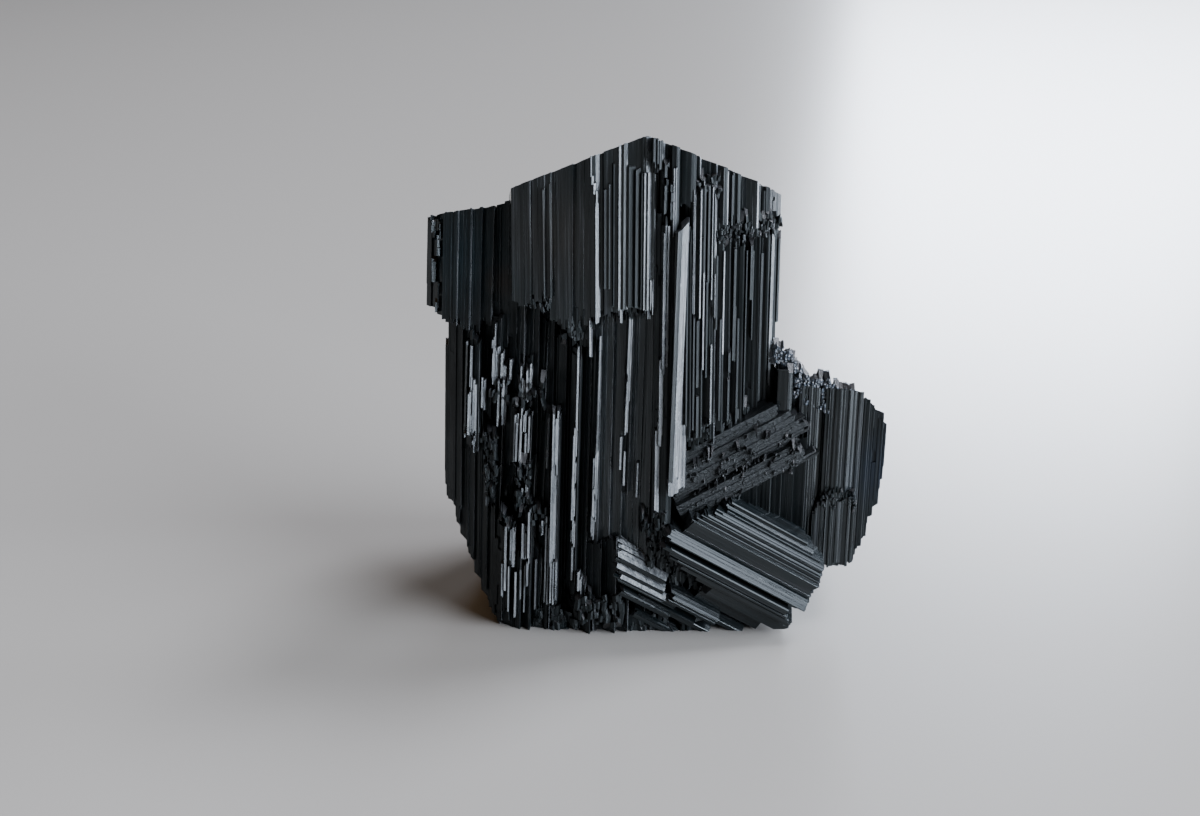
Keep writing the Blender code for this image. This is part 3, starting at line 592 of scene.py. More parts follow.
def recess_ribs():
    """The deep recess under the slab: dark ribs, and the bright faces that catch the light on them."""
    dark = (
        (-15.8, -14.2, -10.6, 16, 40), (-14.4, -12.9, -10.9, 8, 40), (-13.1, -11.6, -11.1, BELOW, 40),
        (-11.8, -10.5, -11.7, BELOW, 31), (-10.7, -9.3, -11.3, BELOW, 40), (-9.5, -8.1, -11.9, BELOW, 40),
        (-8.3, -6.9, -11.6, BELOW, 40), (-1.9, -0.4, -11.9, BELOW, 12), (-0.6, 1.2, -12, BELOW, 9.6),
        (1, 2.8, -11.7, BELOW, 8.6),
    )
    dim = (
        (-8.3, -7, -12, BELOW, 40), (-7.1, -5.9, -12.2, BELOW, 40), (-6, -4.8, -12.3, BELOW, 40),
        (-4.9, -3.6, -12.2, 8, 40), (-3.8, -2.9, -12.4, 8, 40), (-3.1, -2, -12.6, 8, 40),
    )
    bright = (
        (-11.53, -10.96, -12.9, 17.8, 23, 303), (-11.85, -11.21, -12.9, 7.8, 17.8, 303),
        (-12, -11.84, -12.9, 3.3, 7.8, 300), (-11.74, -11.58, -12.9, 3.1, 7.8, 304),
        (-11.48, -11.32, -12.9, 3.7, 7.8, 300), (-9.21, -9.02, -12.8, 21.9, 29.9, 303),
        (-9.59, -9.25, -12.8, 16.7, 21.9, 303), (-9.78, -9.45, -12.8, 12.3, 16.7, 302),
        (-9.86, -9.49, -12.7, 9.4, 12.3, 290), (-9.87, -9.71, -12.6, 5.7, 9.4, 288),
        (-7.21, -7.08, -12.6, 19.2, 31.2, 290), (-7.66, -7.19, -12.6, 14.9, 19.2, 299),
        (-7.78, -7.37, -12.6, 12.7, 14.9, 303), (-7.92, -7.55, -12.5, 10.5, 12.7, 286),
        (-4.42, -4.06, -12.9, 25, 33.1, 297), (-4.61, -4.28, -12.9, 21.6, 25, 295),
        (-5.12, -4.95, -12.7, 17.7, 21.1, 297), (-4.74, -4.53, -12.7, 15.1, 19.6, 293),
        (-3.5, -3.36, -12.7, 14.8, 18.4, 294), (-9.24, -8.82, -13.2, 4.9, 6.4, 292),
        (-1.69, -1.5, -13.2, 10.9, 12.1, 300), (-1.2, -0.91, -13.2, 11, 12.2, 298),
        (-2.1, -1.92, -13.1, 10.8, 11.8, 294),
    )
    behind_bright = (
        (-12.4, -11, -12.6, 3, 23), (-10, -9.1, -12.5, 5, 30), (-8.1, -7.1, -12.3, 10, 31),
        (-5.4, -4.1, -12.6, 15, 34),
    )
    block = (
        (-8.7, -6.9, -13, 3.4, 9.9), (-7.2, -5.4, -13.3, BELOW, 10.3), (-9.8, -8.5, -12.9, 2.6, 5.2),
        (-2.6, -1, -13, 8.8, 11.8), (-10.6, -9, -12.4, BELOW, 3.2), (-8.9, -7.6, -13.6, BELOW, 3.9),
        (-5.8, -4.3, -13.2, BELOW, 4.4), (-4.6, -2.4, -12.6, BELOW, 9),
    )
    return (dark_ribs(dark, lean=1.8) + bright_faces(bright, lean=1.8)
            + dark_ribs(dim, lean=1.2, left_face=246.0, look=SLAB) + dark_ribs(behind_bright, lean=1.8)
            + undercut(dark_ribs(block, lean=1.0, rough=30.0), -12.2, random.Random(SEED + 4))
            + rubble(((-12, -12.1), (3, -12.6), -0.6, 1.2, 0.55, 120),
                     ((-9.6, -13.2), (-5, -13.3), 1, 4, 0.45, 60),
                     ((-2.6, -13), (2.4, -12.6), 7, 10.4, 0.45, 60),
                     ((-3, -13.2), (-0.6, -13.4), 10, 13.4, 0.35, 40),
                     ((-1.8, -12.3), (2.4, -12.2), 4, 9.4, 0.5, 70)))


def upper_left_crystal():
    """The short crystal at the upper left, leaning, with its left side turned to the front."""
    side = (
        (-23.35, -22.1, -8.2, 32.1, 46), (-22.2, -21.4, -9.2, 31.9, 46),
    )
    front = (
        (-21.7, -20.2, -9.9, 31.6, 46), (-20.4, -19, -10, 31.2, 46), (-19.3, -18, -9.9, 31, 46),
        (-18.2, -16.9, -9.8, 31.5, 46),
    )
    steps = (  # a rib, and the height that its top is cut to
        ((-17.6, -16.3, -9.5, 30, 47), 42.6), ((-16.7, -15.5, -9.8, 30, 47), 43.1),
        ((-15.9, -14.6, -10.2, 30, 47), 43.6),
    )
    glints = (
        (-22.6, -22.25, -9.1, 33, 34.6, 296), (-22.9, -22.5, -8.9, 36, 37.2, 294),
        (-22.2, -21.9, -9.4, 38.2, 41, 296), (-22.7, -22.3, -9.2, 39.4, 41.2, 298),
        (-22.8, -22.65, -8.9, 41, 41.9, 290),
    )
    outline = ((-24.6, 33.6), (-23.2, 32.4), (-20.6, 31.3))
    bundle = (dark_ribs(side, lean=3.4, back=2.6, rough=10.0, look=CRUMBLY, surface=UPRIGHT)
              + dark_ribs(front, lean=3.0, back=3.4, rough=10.0, left_face=246.0, look=STRIPED,
                          surface=DULL)
              + bright_faces(glints, lean=3.4, look=CHIPPED, surface=UPRIGHT))
    bundle = cut_to_outline(bundle, outline, 0.1, random.Random(SEED + 3))
    bundle = trimmed(bundle, Vector((-21.5, -9.5, 42.3)), LEFT_TOP)
    for row, height in steps:
        group = dark_ribs((row,), lean=2.0, back=5.0, left_face=240.0)
        bundle += trimmed(group, Vector((row[0], row[2], height)), LEFT_TOP)
    return bundle


def left_columns():
    """The steps at the lower left: short dark columns whose ends climb like stairs, with bright faces."""
    outer = (
        (-21.9, -20.4, -9, 12, 34), (-22.4, -21.4, -8.3, 8, 29), (-22.4, -20.9, -8.8, 5, 25),
        (-21.6, -20.2, -9.2, BELOW, 19), (-20.9, -19.4, -9.6, BELOW, 31.5), (-20.2, -18.8, -10, BELOW, 24),
        (-19.8, -18.6, -10.9, 19.2, 30), (-19.6, -18.2, -10.5, BELOW, 20), (-19, -17.6, -10.9, BELOW, 12.6),
        (-18.4, -17, -11.2, BELOW, 9),
    )
    inner = (
        (-19.2, -17.6, -9.3, 16, 33), (-18, -16.4, -10.6, 25.4, 32.2), (-18.8, -17.5, -10.6, 23, 25.4),
        (-17.4, -16, -11.1, 21.8, 26), (-18.5, -16.6, -10.2, 12, 24), (-18.9, -17.3, -10.3, 12.6, 19.4),
        (-15.9, -13.4, -10.9, 23.6, 28), (-16.2, -14.6, -11.8, 17.8, 23.2), (-14.9, -13.6, -11.6, 18.3, 23),
        (-15.6, -13.3, -11.3, 11, 18.4), (-14, -12.4, -11.2, 9, 22.2), (-13.6, -12.2, -10.8, 18, 32),
        (-16.4, -14.8, -10.4, 16, 34), (-14.9, -13.4, -10.5, 20, 34),
    )
    lowest = (
        (-18.1, -16.7, -11.8, 1.1, 9), (-17.5, -15.9, -12.3, 0.5, 11.2), (-16.2, -15, -12.4, BELOW, 8),
        (-15.4, -13.8, -12.5, BELOW, 13), (-14.2, -12.9, -12.3, BELOW, 8.8),
        (-13.4, -11.9, -12.5, BELOW, 12.6),
    )
    bright = (
        (-19.99, -19.86, -10.3, 20.2, 29.9, 283), (-19.38, -19.24, -11, 25.6, 29.8, 296),
        (-19.72, -18.86, -11.3, 20.6, 25.9, 303), (-20.19, -19.85, -10.9, 19.6, 20.5, 300),
        (-19.42, -19.08, -10.9, 19.4, 20.5, 303), (-17.21, -16.92, -11, 29.2, 31, 298),
        (-17.26, -16.55, -11.1, 26.1, 29.3, 303), (-16.48, -15.95, -11, 25.9, 28.3, 301),
        (-15.64, -15.46, -10.9, 26.3, 28.3, 300), (-18.42, -17.98, -10.9, 23.5, 25.3, 303),
        (-17.64, -17.49, -10.8, 24.5, 25.3, 303), (-16.84, -16.62, -11.3, 22.4, 25.7, 297),
        (-16.42, -16.17, -11.4, 22.6, 25.8, 306), (-14.59, -14.45, -11.1, 26.2, 27.7, 298),
        (-14.04, -13.52, -11.3, 24.1, 27.4, 299), (-14.51, -14.15, -11.1, 24, 26.3, 290),
        (-15.31, -15.16, -11.9, 18.2, 23, 294), (-15.11, -14.9, -12, 18.3, 23.1, 305),
        (-14.75, -14.54, -12, 18.4, 23.1, 303), (-14.34, -14.03, -12, 21.2, 23.2, 302),
        (-14.29, -14.13, -11.9, 19, 21.1, 300), (-13.93, -13.8, -11.8, 19.1, 22.9, 288),
        (-12.08, -11.94, -12.2, 17.6, 22.9, 292), (-17.99, -17.79, -10.6, 16.8, 19.2, 299),
        (-18.36, -18.19, -10.6, 14.4, 16.1, 300), (-17.97, -17.77, -10.7, 14.9, 16.8, 303),
        (-18.31, -18.17, -10.5, 12.9, 14, 298), (-17.73, -17.6, -10.5, 15.7, 18, 293),
        (-14.26, -14.04, -11.7, 14.1, 17.2, 298), (-13.98, -13.55, -11.6, 12.2, 13.5, 296),
        (-14.74, -14.58, -11.6, 12.7, 15.3, 290),
    )
    low_bright = (
        (-16.5, -16.3, -12.4, 4.5, 11.4, 294), (-16.8, -16.59, -12.4, 4.1, 7.3, 298),
        (-15.82, -15.37, -12.6, 7.7, 11.3, 303), (-14.71, -14.21, -12.7, 8.1, 11.7, 299),
        (-14.12, -13.91, -12.8, 7.8, 13.1, 303), (-14.34, -14.16, -12.6, 5, 7.7, 296),
        (-12.76, -12.6, -12.7, 10.7, 12.3, 304), (-12.47, -12.35, -12.6, 3.2, 12.7, 290),
        (-12.22, -12.08, -12.7, 3.1, 11.5, 294), (-16.23, -16.1, -12.3, 2, 7.1, 284),
        (-15.59, -15.43, -12.4, 1.4, 6.5, 288), (-15.03, -14.89, -12.4, 3.4, 6.8, 284),
        (-14.62, -14.52, -12.4, 2, 7.2, 282), (-13.53, -13.42, -12.4, 2.3, 7.9, 280),
    )
    outline = ((-22.6, 21.0), (-22.3, 13.0), (-21.2, 10.2), (-20.4, 6.2), (-18.6, 1.6), (-17.0, -1.6))
    dark = (dark_ribs(outer, lean=2.4, rough=20.0, back=3.0) + dark_ribs(inner, lean=3.4, rough=25.0)
            + undercut(dark_ribs(lowest, lean=2.6, rough=25.0), -11.2, random.Random(SEED + 5)))
    broken = rubble(((-18.4, -10.9), (-17.2, -11.2), 14, 19.6, 0.3, 40),
                    ((-15.4, -11.9), (-13.9, -12), 12.6, 18, 0.3, 40),
                    ((-17.6, -11.3), (-12.4, -11.8), 23.4, 26, 0.3, 30),
                    ((-20.2, -10.4), (-17, -11.2), 18.6, 21, 0.3, 24),
                    ((-16.8, -12.2), (-12.2, -12.6), 11, 13, 0.3, 24),
                    ((-17, -10.9), (-11.6, -12.1), -0.6, 1.2, 0.6, 90))
    return (cut_to_outline(dark, outline, 0.7, random.Random(SEED + 1)) + bright_faces(bright, lean=3.2)
            + bright_faces(low_bright, lean=2.2) + broken)


def right_crystal():
    """The lower crystal at the right, which hangs clear of the surface."""
    inside = box(8.0, 20.0, -5.2, 5.0, 6.6, 21.0)
    slice_off(inside, Vector((19.0, -5.2, 0.0)), facing(GLINT_FACE))
    trimmed([inside], Vector((15.2, -8.2, 23.8)), RIGHT_TOP)
    broad_rows = (
        (12.6, 13.7, -7.8, 5.8, 27, 0.78, 292), (13.5, 14.6, -7.9, 5.6, 27, 0.82, 290),
        (14.4, 15.2, -7.3, 5.2, 27, 0.75, 291), (15.2, 15.8, -8, 5, 27, 0.6, 294),
        (15.7, 16.7, -8.1, 5, 27, 0.9, OPEN_FACE), (16.5, 16.9, -8.2, 5, 27, 0.5, 294),
        (16.8, 17.9, -8.2, 5, 27, 0.66, 291), (17.7, 18.2, -8, 5, 27, 0.6, 294),
        (18.1, 18.9, -7.9, 5, 27, 0.7, 292),
    )
    fringe = (
        (18.6, 19.7, -7.5, 2, 27, 0.96), (19.5, 20.2, -7.1, 2, 27, 0.92), (20, 21.3, -6.6, 2, 27, 0.97),
        (21.1, 21.7, -5.9, 2, 27, 0.94), (21.5, 22.5, -5.2, 2, 27, 0.97),
    )
    lower_rows = (
        (14.4, 15.9, -8.3, 5.2, 11.6, 0.8), (15.7, 17, -8.4, 5.1, 12.2, 0.8),
        (16.8, 18.2, -8.4, 5, 12.6, 0.8),
    )
    low_outline = ((11.0, 6.6), (16.6, 5.2), (19.6, 5.6))
    dice = random.Random(SEED + 2)
    broad = ribs(broad_rows, back=5.0, rough=22.0, look=UNEVEN, left_face=268.0)
    broad = trimmed(broad, Vector((15.2, -8.2, 24.6)), RIGHT_TOP)
    side = ribs(fringe, glint=RIGHT_FACE, back=3.4, rough=9.0, look=SPLIT, left_face=262.0)
    low = ribs(lower_rows, glint=RIGHT_FACE, rough=30.0, look=UNEVEN, left_face=266.0)
    broken = rubble(((15, -8.3), (18.6, -8.2), 11.4, 13.4, 0.2, 60))
    return ([inside] + cut_to_outline(broad + low, low_outline, 0.3, dice)
            + cut_to_outline(side, RIGHT_OUTLINE, 0.5, dice) + broken)


def between_the_slants():
    """Dark upright ribs that show between the two slanting crystals."""
    rows = (
        (5.2, 6.5, -11, BELOW, 15, 0.96, RIGHT_FACE), (6.3, 6.8, -10.9, BELOW, 15.2, 0.7, 294),
        (6.7, 7.7, -10.8, BELOW, 15.4, 0.97, RIGHT_FACE), (7.5, 8.5, -10.4, BELOW, 16, 0.96, RIGHT_FACE),
        (8.4, 9.9, -10.1, 1.6, 16.6, 0.92, 293), (9.7, 10.4, -9.8, 2.4, 17.2, 0.96, RIGHT_FACE),
        (10.2, 11, -9.5, 2.4, 17.4, 0.9, 293), (10.8, 12.2, -9.3, 3, 18, 0.97, RIGHT_FACE),
        (12, 13.5, -8.6, 5, 19.5, 0.95, 292),
    )
    return ribs(rows, back=6.0, look=SHADED, left_face=250.0)


def upper_slanting_crystal():
    """The matte crystal that rises to the right across the cluster, in two bands with a step."""
    rows = (
        (-3.3, -2, 0.5, -5.4, 5.2, 0.8), (-2.2, -0.9, 0, -6.6, 6.2, 0.85), (-1.1, 0.3, -0.4, -7, 6.4, 0.8),
        (0.1, 1.3, 0.2, -7.2, 5.4, 0.5), (1, 2.3, -0.6, -7.4, 5, 0.8), (2, 3.1, -0.4, -7.4, 5.8, 0.75),
        (2.8, 3.7, 0.3, -7.2, 6, 0.6),
    )
    bundle = ribs(rows, glint=RIGHT_FACE, back=3.2, rough=30.0, surface=RISING, look=CRUMBLY)
    bundle = placed(bundle, Vector((7.2, -10.6, 18.0)), *RISING_SLANT)
    # Grains on the crystal; the finest are of the paler etched copy, painted glints.
    grains = rubble(((1.6, -12.3), (7, -11.3), 13.4, 17, 0.16, 40, RISING),
                    ((6, -11.5), (12.6, -9.7), 16.6, 20.4, 0.16, 44, RISING),
                    ((2, -12.4), (12.4, -9.9), 16, 18.6, 0.07, 70, ETCHED_PAINTED_SHEEN))
    return bundle + grains


def lower_slanting_crystal():
    """The glossy crystal that falls to the right and rests on the surface, in broad flat bands."""
    striped = (
        (4.55, 4.95, 0.1, -4.6, 3.6, 0.7), (4, 4.6, -0.1, -5.6, 3.7, 0.5), (3.8, 4.1, -0.3, -6.6, 3.8, 0.85),
        (3.5, 3.85, -0.6, -7.3, 4.4, 0.35), (3.05, 3.6, -0.9, -7.4, 4.6, 0.72),
        (2.72, 3.15, -1.1, -7.9, 5.2, 0.62), (2.36, 2.8, -1.2, -8.1, 5.6, 0.88),
        (1.86, 2.42, -1.35, -8.3, 6, 0.91), (-0.75, 0.2, -2.2, -8.2, 7.7, 0.1), (-2, -1.3, -2.3, -6, 7, 0.8),
        (-2.4, -1.95, -2.1, -6.4, 6, 0.45), (-2.9, -2.35, -1.9, -6.8, 5, 0.74),
    )
    broad = (
        (0.1, 2, -1.5, -8.4, 6.4, 0.98, GLINT_FACE), (-1.5, -0.7, -0.7, -8, 6.6, 0.95, RIGHT_FACE),
        (-3.5, -2.8, -1.2, -8.6, 2.8, 0.75, RIGHT_FACE), (-4.4, -3.3, -1.1, -7.6, 1, 0.9, RIGHT_FACE),
        (-5.6, -4.2, -0.3, -5.2, 1.4, 0.7, RIGHT_FACE),
    )
    bundle = ribs(striped, back=2.4, rough=24.0, surface=FALLING, look=STRIPED)
    bundle += ribs(broad, back=3.6, rough=24.0, surface=FALLING, look=CALM)
    outline = ((8.0, -0.6), (11.6, 0.7), (13.1, 2.6), (14.0, 4.6), (15.5, 7.6))
    bundle = placed(bundle, Vector((6.4, -12.5, 8.0)), *FALLING_SLANT)
    return cut_to_outline(bundle, outline, 0.12, random.Random(SEED + 6))


def small_slanting_crystals():
    """Thin crystals at the foot, lying the same way as the lower slanting crystal."""
    crystals = (  # middle, half length, half width, what its lit face is made of
        # the first four lit faces are of the paler etched copy, a painted sheen
        ((-3.8, -13, 8.9), 1.7, 0.55, ETCHED_PAINTED_SHEEN), ((-3.1, -13.5, 7.6), 2.3, 0.5, ETCHED_PAINTED_SHEEN),
        ((-3.2, -13.7, 6.5), 2.2, 0.5, ETCHED_PAINTED_SHEEN), ((-2.6, -13.9, 5.3), 2.9, 0.5, ETCHED_PAINTED_SHEEN),
        ((-2.7, -13.6, 3.9), 2.4, 0.6, FALLING), ((-0.6, -13.4, 3.1), 2.8, 0.65, FALLING),
        ((0.2, -12.6, 8.2), 2.4, 0.6, FALLING), ((2.2, -13.9, 3.3), 2.2, 0.7, FALLING),
        ((1.1, -13, 1.9), 2.6, 0.6, FALLING), ((4.6, -12.8, 1.6), 2.4, 0.6, FALLING),
        ((-1.6, -12.9, 1.2), 2.2, 0.6, FALLING),
    )
    lean, turn = FALLING_SLANT[0], 4.0
    bundle = []
    for middle, half_length, half_width, lit in crystals:
        group = rib(-half_width, half_width, 0.0, -half_length, half_length, 0.45, rough=30.0,
                    surface=FALLING, lit=lit)
        bundle += placed(group, Vector(middle), lean, turn)
    return bundle


def shoulder_growth(dice):
    """A low mound of fine grains on the shoulder between the tall and the right crystal, and a short
    round rod before it."""
    bundle = rib(10.3, 11.7, -8.9, 21.0, 26.3, 0.70, RIGHT_FACE, rough=6.0, look=CALM, left_face=250.0)
    outline = ((9.6, 29.4), (10.6, 28.2), (11.5, 27.9), (11.8, 26.9), (12.6, 26.1), (13.4, 25.5),
               (15.4, 25.2), (16.0, 24.4), (18.4, 23.9))
    for (x, z), (next_x, next_z) in zip(outline, outline[1:]):
        face = ((270.0, next_x - x + 0.2),)
        mound = column(Vector((x - 0.1, -7.2, 0.0)), face, 1.3, z - 2.8, z + 1.0, SUGARY)
        slice_off(mound, Vector((x, -7.2, z - 0.3)), Vector((z - next_z, 0.9 * (next_x - x), next_x - x)))
        bundle.append(mound)
    count = 300
    for i in range(count):
        middle_x = 9.8 + 8.0 * (i / (count - 1))
        below = next(n for n in range(len(outline) - 1) if middle_x < outline[n + 1][0])
        (x, z), (next_x, next_z) = outline[below], outline[below + 1]
        edge = z + (next_z - z) * (middle_x - x) / (next_x - x)
        height = edge - dice.uniform(0.0, 1.0) ** 1.5 * (1.6 if middle_x < 11.9 else 3.2)
        size = dice.uniform(0.12, 0.26)
        front = -7.5 - 0.1 * (edge - height) + dice.uniform(-0.1, 0.15)
        grain = column(Vector((middle_x, front, 0.0)), ((235.0, size), (295.0, size)), 1.0,
                       height - 0.7, height + 0.5, SUGARY)
        spot = Vector((middle_x, front, height - 0.1))
        break_end(grain, dice, spot, 1, 50.0)
        break_end(grain, dice, spot - UP * dice.uniform(0.2, 0.5), -1, 50.0)
        bundle += tipped([grain], dice.uniform(-14.0, 14.0), middle_x, front, height - 0.7, height)
    return bundle


def back_and_sides(dice):
    """The ribbed back and sides, in tiers that end at different heights."""
    around = ((9.3, -6.0), (10.3, 2.6), (8.6, 8.4), (3.0, 11.8), (-5.2, 13.0),
              (-13.2, 10.4), (-18.2, 5.0), (-20.0, -1.6), (-20.4, -5.8))
    behind_right = ((20.9, -4.4), (20.4, 2.4), (17.6, 5.6), (10.6, 7.0))
    behind_left = ((-17.0, 0.6), (-21.2, -1.6), (-21.9, -6.0))
    upper = fence(around[:6], 2.3, (16.0, 26.0), (CROWN, CROWN), dice, 6.0)
    left_upper = fence(around[5:], 2.2, (14.0, 22.0), (34.0, 39.0), dice, 5.0)
    lower = fence(around[:7], 2.4, (BELOW, BELOW), (20.0, 34.0), dice, 6.0)
    left_lower = fence(around[6:], 2.0, (1.5, 7.0), (17.0, 27.0), dice, 5.0)
    right_back = fence(behind_right, 1.6, (6.0, 9.0), (15.0, 20.0), dice, 4.0)
    right_back = cut_to_outline(right_back, RIGHT_OUTLINE, 0.4, dice)
    tab_back = fence(behind_left, 2.0, (32.5, 33.5), (44.0, 45.0), dice, 4.5)
    return (crowned(upper + left_upper + lower + left_lower, BACK_STEP) + right_back
            + trimmed(tab_back, Vector((-21.5, -9.5, 42.0)), LEFT_TOP))


# ---- Materials ----

SCHORL_IOR = 1.64
COOL_SHEEN = "#F1FBFF"

# The surfaces of grooved_tourmaline(). Their streaks are pale lines painted as sheen. The colours around
# places, each with how far it reaches, are brownish stains and painted bluish reflection on the tab and on
# the right crystal's side.
GLASSY = {"gloss": 0.3, "polished": 0.08, "worn": 0.22, "grooves": 0.022, "pits": 0.003, "dark": "#081012",
          "light": "#121415", "painted_sheen_streaks": "#46494C", "stains_and_painted_reflections": (
              # painted bluish reflection on the tab
              ("#0A1C22", (-19.0, -10.0, 38.0), 6.0),
              # brownish stains
              ("#2A2018", (-16.2, -10.5, 35.6), 2.2),
              ("#1C1A18", (-11.0, -13.0, 41.0), 6.0),
              # painted bluish reflection on the right crystal's side
              ("#141C26", (21.0, -6.0, 15.0), 5.0))}
BANDED = {**GLASSY, "gloss": 0.34, "grooves": 0.012, "painted_sheen_streaks": "#2C2F32"}
DULLED = {**GLASSY, "gloss": 0.22, "polished": 0.34, "worn": 0.55, "pits": 0.01, "painted_sheen_streaks": "#2E3234"}
# The etched copy for faces turned to the window: rougher and pitted, and paler in colour and streaks as a
# painted sheen.
FROSTED_PAINTED_SHEEN = {**GLASSY, "gloss": 0.72, "polished": 0.13, "worn": 0.34, "pits": 0.02, "dark": "#181B1E",
           "light": "#575B5F", "painted_sheen_streaks": "#A2A6A9", "stains_and_painted_reflections": ()}
MATTE = {**GLASSY, "gloss": 0.27, "polished": 0.36, "worn": 0.6, "pits": 0.2, "dark": "#080B0C",
         "light": "#131415", "painted_sheen_streaks": "#26282B", "stains_and_painted_reflections": ()}


def linear(hex_colour):
    """An sRGB hex colour as linear RGBA."""
    parts = [int(hex_colour[i:i + 2], 16) / 255.0 for i in (1, 3, 5)]
    return tuple(c / 12.92 if c <= 0.04045 else ((c + 0.055) / 1.055) ** 2.4 for c in parts) + (1.0,)


def add(tree, kind, *inputs, **settings):
    """Adds a node. settings go to its properties or sockets by name, and inputs to its sockets in order:
    an output is linked, and anything else is a plain value."""
    node = tree.nodes.new(kind)
    for name, value in (*settings.items(), *enumerate(inputs)):
        if isinstance(name, str) and hasattr(node, name):
            setattr(node, name, value)
            continue
        socket = node.inputs[name.replace("_", " ") if isinstance(name, str) else name]
        if isinstance(value, bpy.types.NodeSocket):
            tree.links.new(value, socket)
        else:
            socket.default_value = value
    return node


def new_material(name):
    """An empty material and its tree of nodes."""
    material = bpy.data.materials.new(name)
    material.use_nodes = True
    material.node_tree.nodes.clear()
    return material, material.node_tree


def crystal_axes(lean, turn):
    """The turn that brings a crystal's own length upright again, for a pattern that runs along it."""
    return tuple((turned(turn, "Z") @ turned(lean, "Y")).inverted().to_euler("XYZ"))


def in_millimetres(tree, tilt=(0.0, 0.0, 0.0)):
    """The place on the object in millimetres, with its axes turned by tilt."""
    place = add(tree, "ShaderNodeTexCoord")
    own = add(tree, "ShaderNodeMapping", place.outputs["Object"], Rotation=tilt, Scale=(1.0 / MM,) * 3)
    return own.outputs[0]


def painted_sheen_streaks(tree, own, scale, run, low, high):
    """Long uneven streaks along the crystal, from 0 to 1, where pale colour is painted as sheen; scale is
    how many there are to a millimetre and run how quickly they change along their length."""
    drawn = add(tree, "ShaderNodeMapping", own, Scale=(1.0, 1.0, run))
    noise = add(tree, "ShaderNodeTexNoise", drawn.outputs[0], Scale=scale, Detail=3.0, Roughness=0.6)
    return add(tree, "ShaderNodeMapRange", noise.outputs[0], From_Min=low, From_Max=high).outputs[0]


def tinted(tree, own, colour, tint, centre, reach):
    """Mixes a tint into a colour around a place, given in millimetres; it fades out at its reach."""
    away = add(tree, "ShaderNodeVectorMath", own, Vector(centre) + TO_SHARED, operation="DISTANCE")
    near = add(tree, "ShaderNodeMapRange", away.outputs["Value"], From_Min=reach, From_Max=0.2 * reach)
    mix = add(tree, "ShaderNodeMix", data_type="RGBA", Factor=near.outputs[0], A=colour, B=linear(tint))
    return mix.outputs["Result"]


def grooved_tourmaline(name, tilt, look):
    """Black tourmaline, schorl: opaque and glassy, with fine grooves and pale streaks along the crystal that
    are painted sheen.

    tilt turns the object's axes to the crystal's own, so that its length is Z. look gives the strength of
    the gloss, the roughness from polished to worn, the depths of grooves and pits in millimetres, and the
    colours.
    """
    material, tree = new_material(name)
    own = in_millimetres(tree, tilt)
    # A place across the grooves, which grows along every face that shows and sways a little.
    parts = add(tree, "ShaderNodeSeparateXYZ", own)
    across = add(tree, "ShaderNodeMath", parts.outputs["Y"], 0.7, parts.outputs["X"],
                 operation="MULTIPLY_ADD")
    sway = add(tree, "ShaderNodeMapping", own, Scale=(0.9, 0.9, 0.05))
    swayed = add(tree, "ShaderNodeTexNoise", sway.outputs[0], Scale=1.0, Detail=1.0)
    place = add(tree, "ShaderNodeMath", swayed.outputs[0], 0.1, across.outputs[0], operation="MULTIPLY_ADD")
    # Grooves of two widths, the finer ones shallower.
    wide, fine = (add(tree, "ShaderNodeTexVoronoi", voronoi_dimensions="1D", W=place.outputs[0],
                      Scale=scale) for scale in (2.6, 7.5))
    grooves = add(tree, "ShaderNodeMath", fine.outputs["Distance"], 0.35, wide.outputs["Distance"],
                  operation="MULTIPLY_ADD")
    grooved = add(tree, "ShaderNodeBump", Strength=1.0, Distance=look["grooves"] * MM,
                  Height=grooves.outputs[0])
    # Pits, drawn out along the crystal.
    etched = add(tree, "ShaderNodeMapping", own, Scale=(1.0, 1.0, 0.45))
    grit = add(tree, "ShaderNodeTexNoise", etched.outputs[0], Scale=5.0, Detail=4.0, Roughness=0.65)
    pitted = add(tree, "ShaderNodeBump", Strength=1.0, Distance=look["pits"] * MM, Height=grit.outputs[0],
                 Normal=grooved.outputs[0])
    # Worn patches, rougher and paler than the polished ones. In the etched copy both colours are paler all
    # over, a painted sheen.
    patches = add(tree, "ShaderNodeTexNoise", etched.outputs[0], Scale=0.5, Detail=5.0, Roughness=0.7)
    polish = add(tree, "ShaderNodeMapRange", patches.outputs[0], From_Min=0.35, From_Max=0.65,
                 To_Min=look["polished"], To_Max=look["worn"])
    base = add(tree, "ShaderNodeValToRGB", patches.outputs[0])
    for stop, position, shade in zip(base.color_ramp.elements, (0.3, 0.7), ("dark", "light")):
        stop.position = position
        stop.color = linear(look[shade])
    colour = base.outputs[0]
    # Colours around places: brownish stains, and painted bluish reflection on the tab and on the right
    # crystal's side.
    for tint, centre, reach in look["stains_and_painted_reflections"]:
        colour = tinted(tree, own, colour, tint, centre, reach)
    # Pale streaks painted into the colour: a painted sheen along the grooves.
    drawn = add(tree, "ShaderNodeMath", painted_sheen_streaks(tree, own, 2.6, 0.03, 0.42, 0.75),
                painted_sheen_streaks(tree, own, 8.0, 0.02, 0.35, 0.65), operation="MULTIPLY")
    sheen_painted = add(tree, "ShaderNodeMix", data_type="RGBA", Factor=drawn.outputs[0], A=colour,
                   B=linear(look["painted_sheen_streaks"]))
    shader = add(tree, "ShaderNodeBsdfPrincipled", Base_Color=sheen_painted.outputs["Result"], IOR=SCHORL_IOR,
                 Roughness=polish.outputs[0], Normal=pitted.outputs[0], Specular_IOR_Level=look["gloss"],
                 Specular_Tint=linear(COOL_SHEEN))
    add(tree, "ShaderNodeOutputMaterial", Surface=shader.outputs[0])
    return material


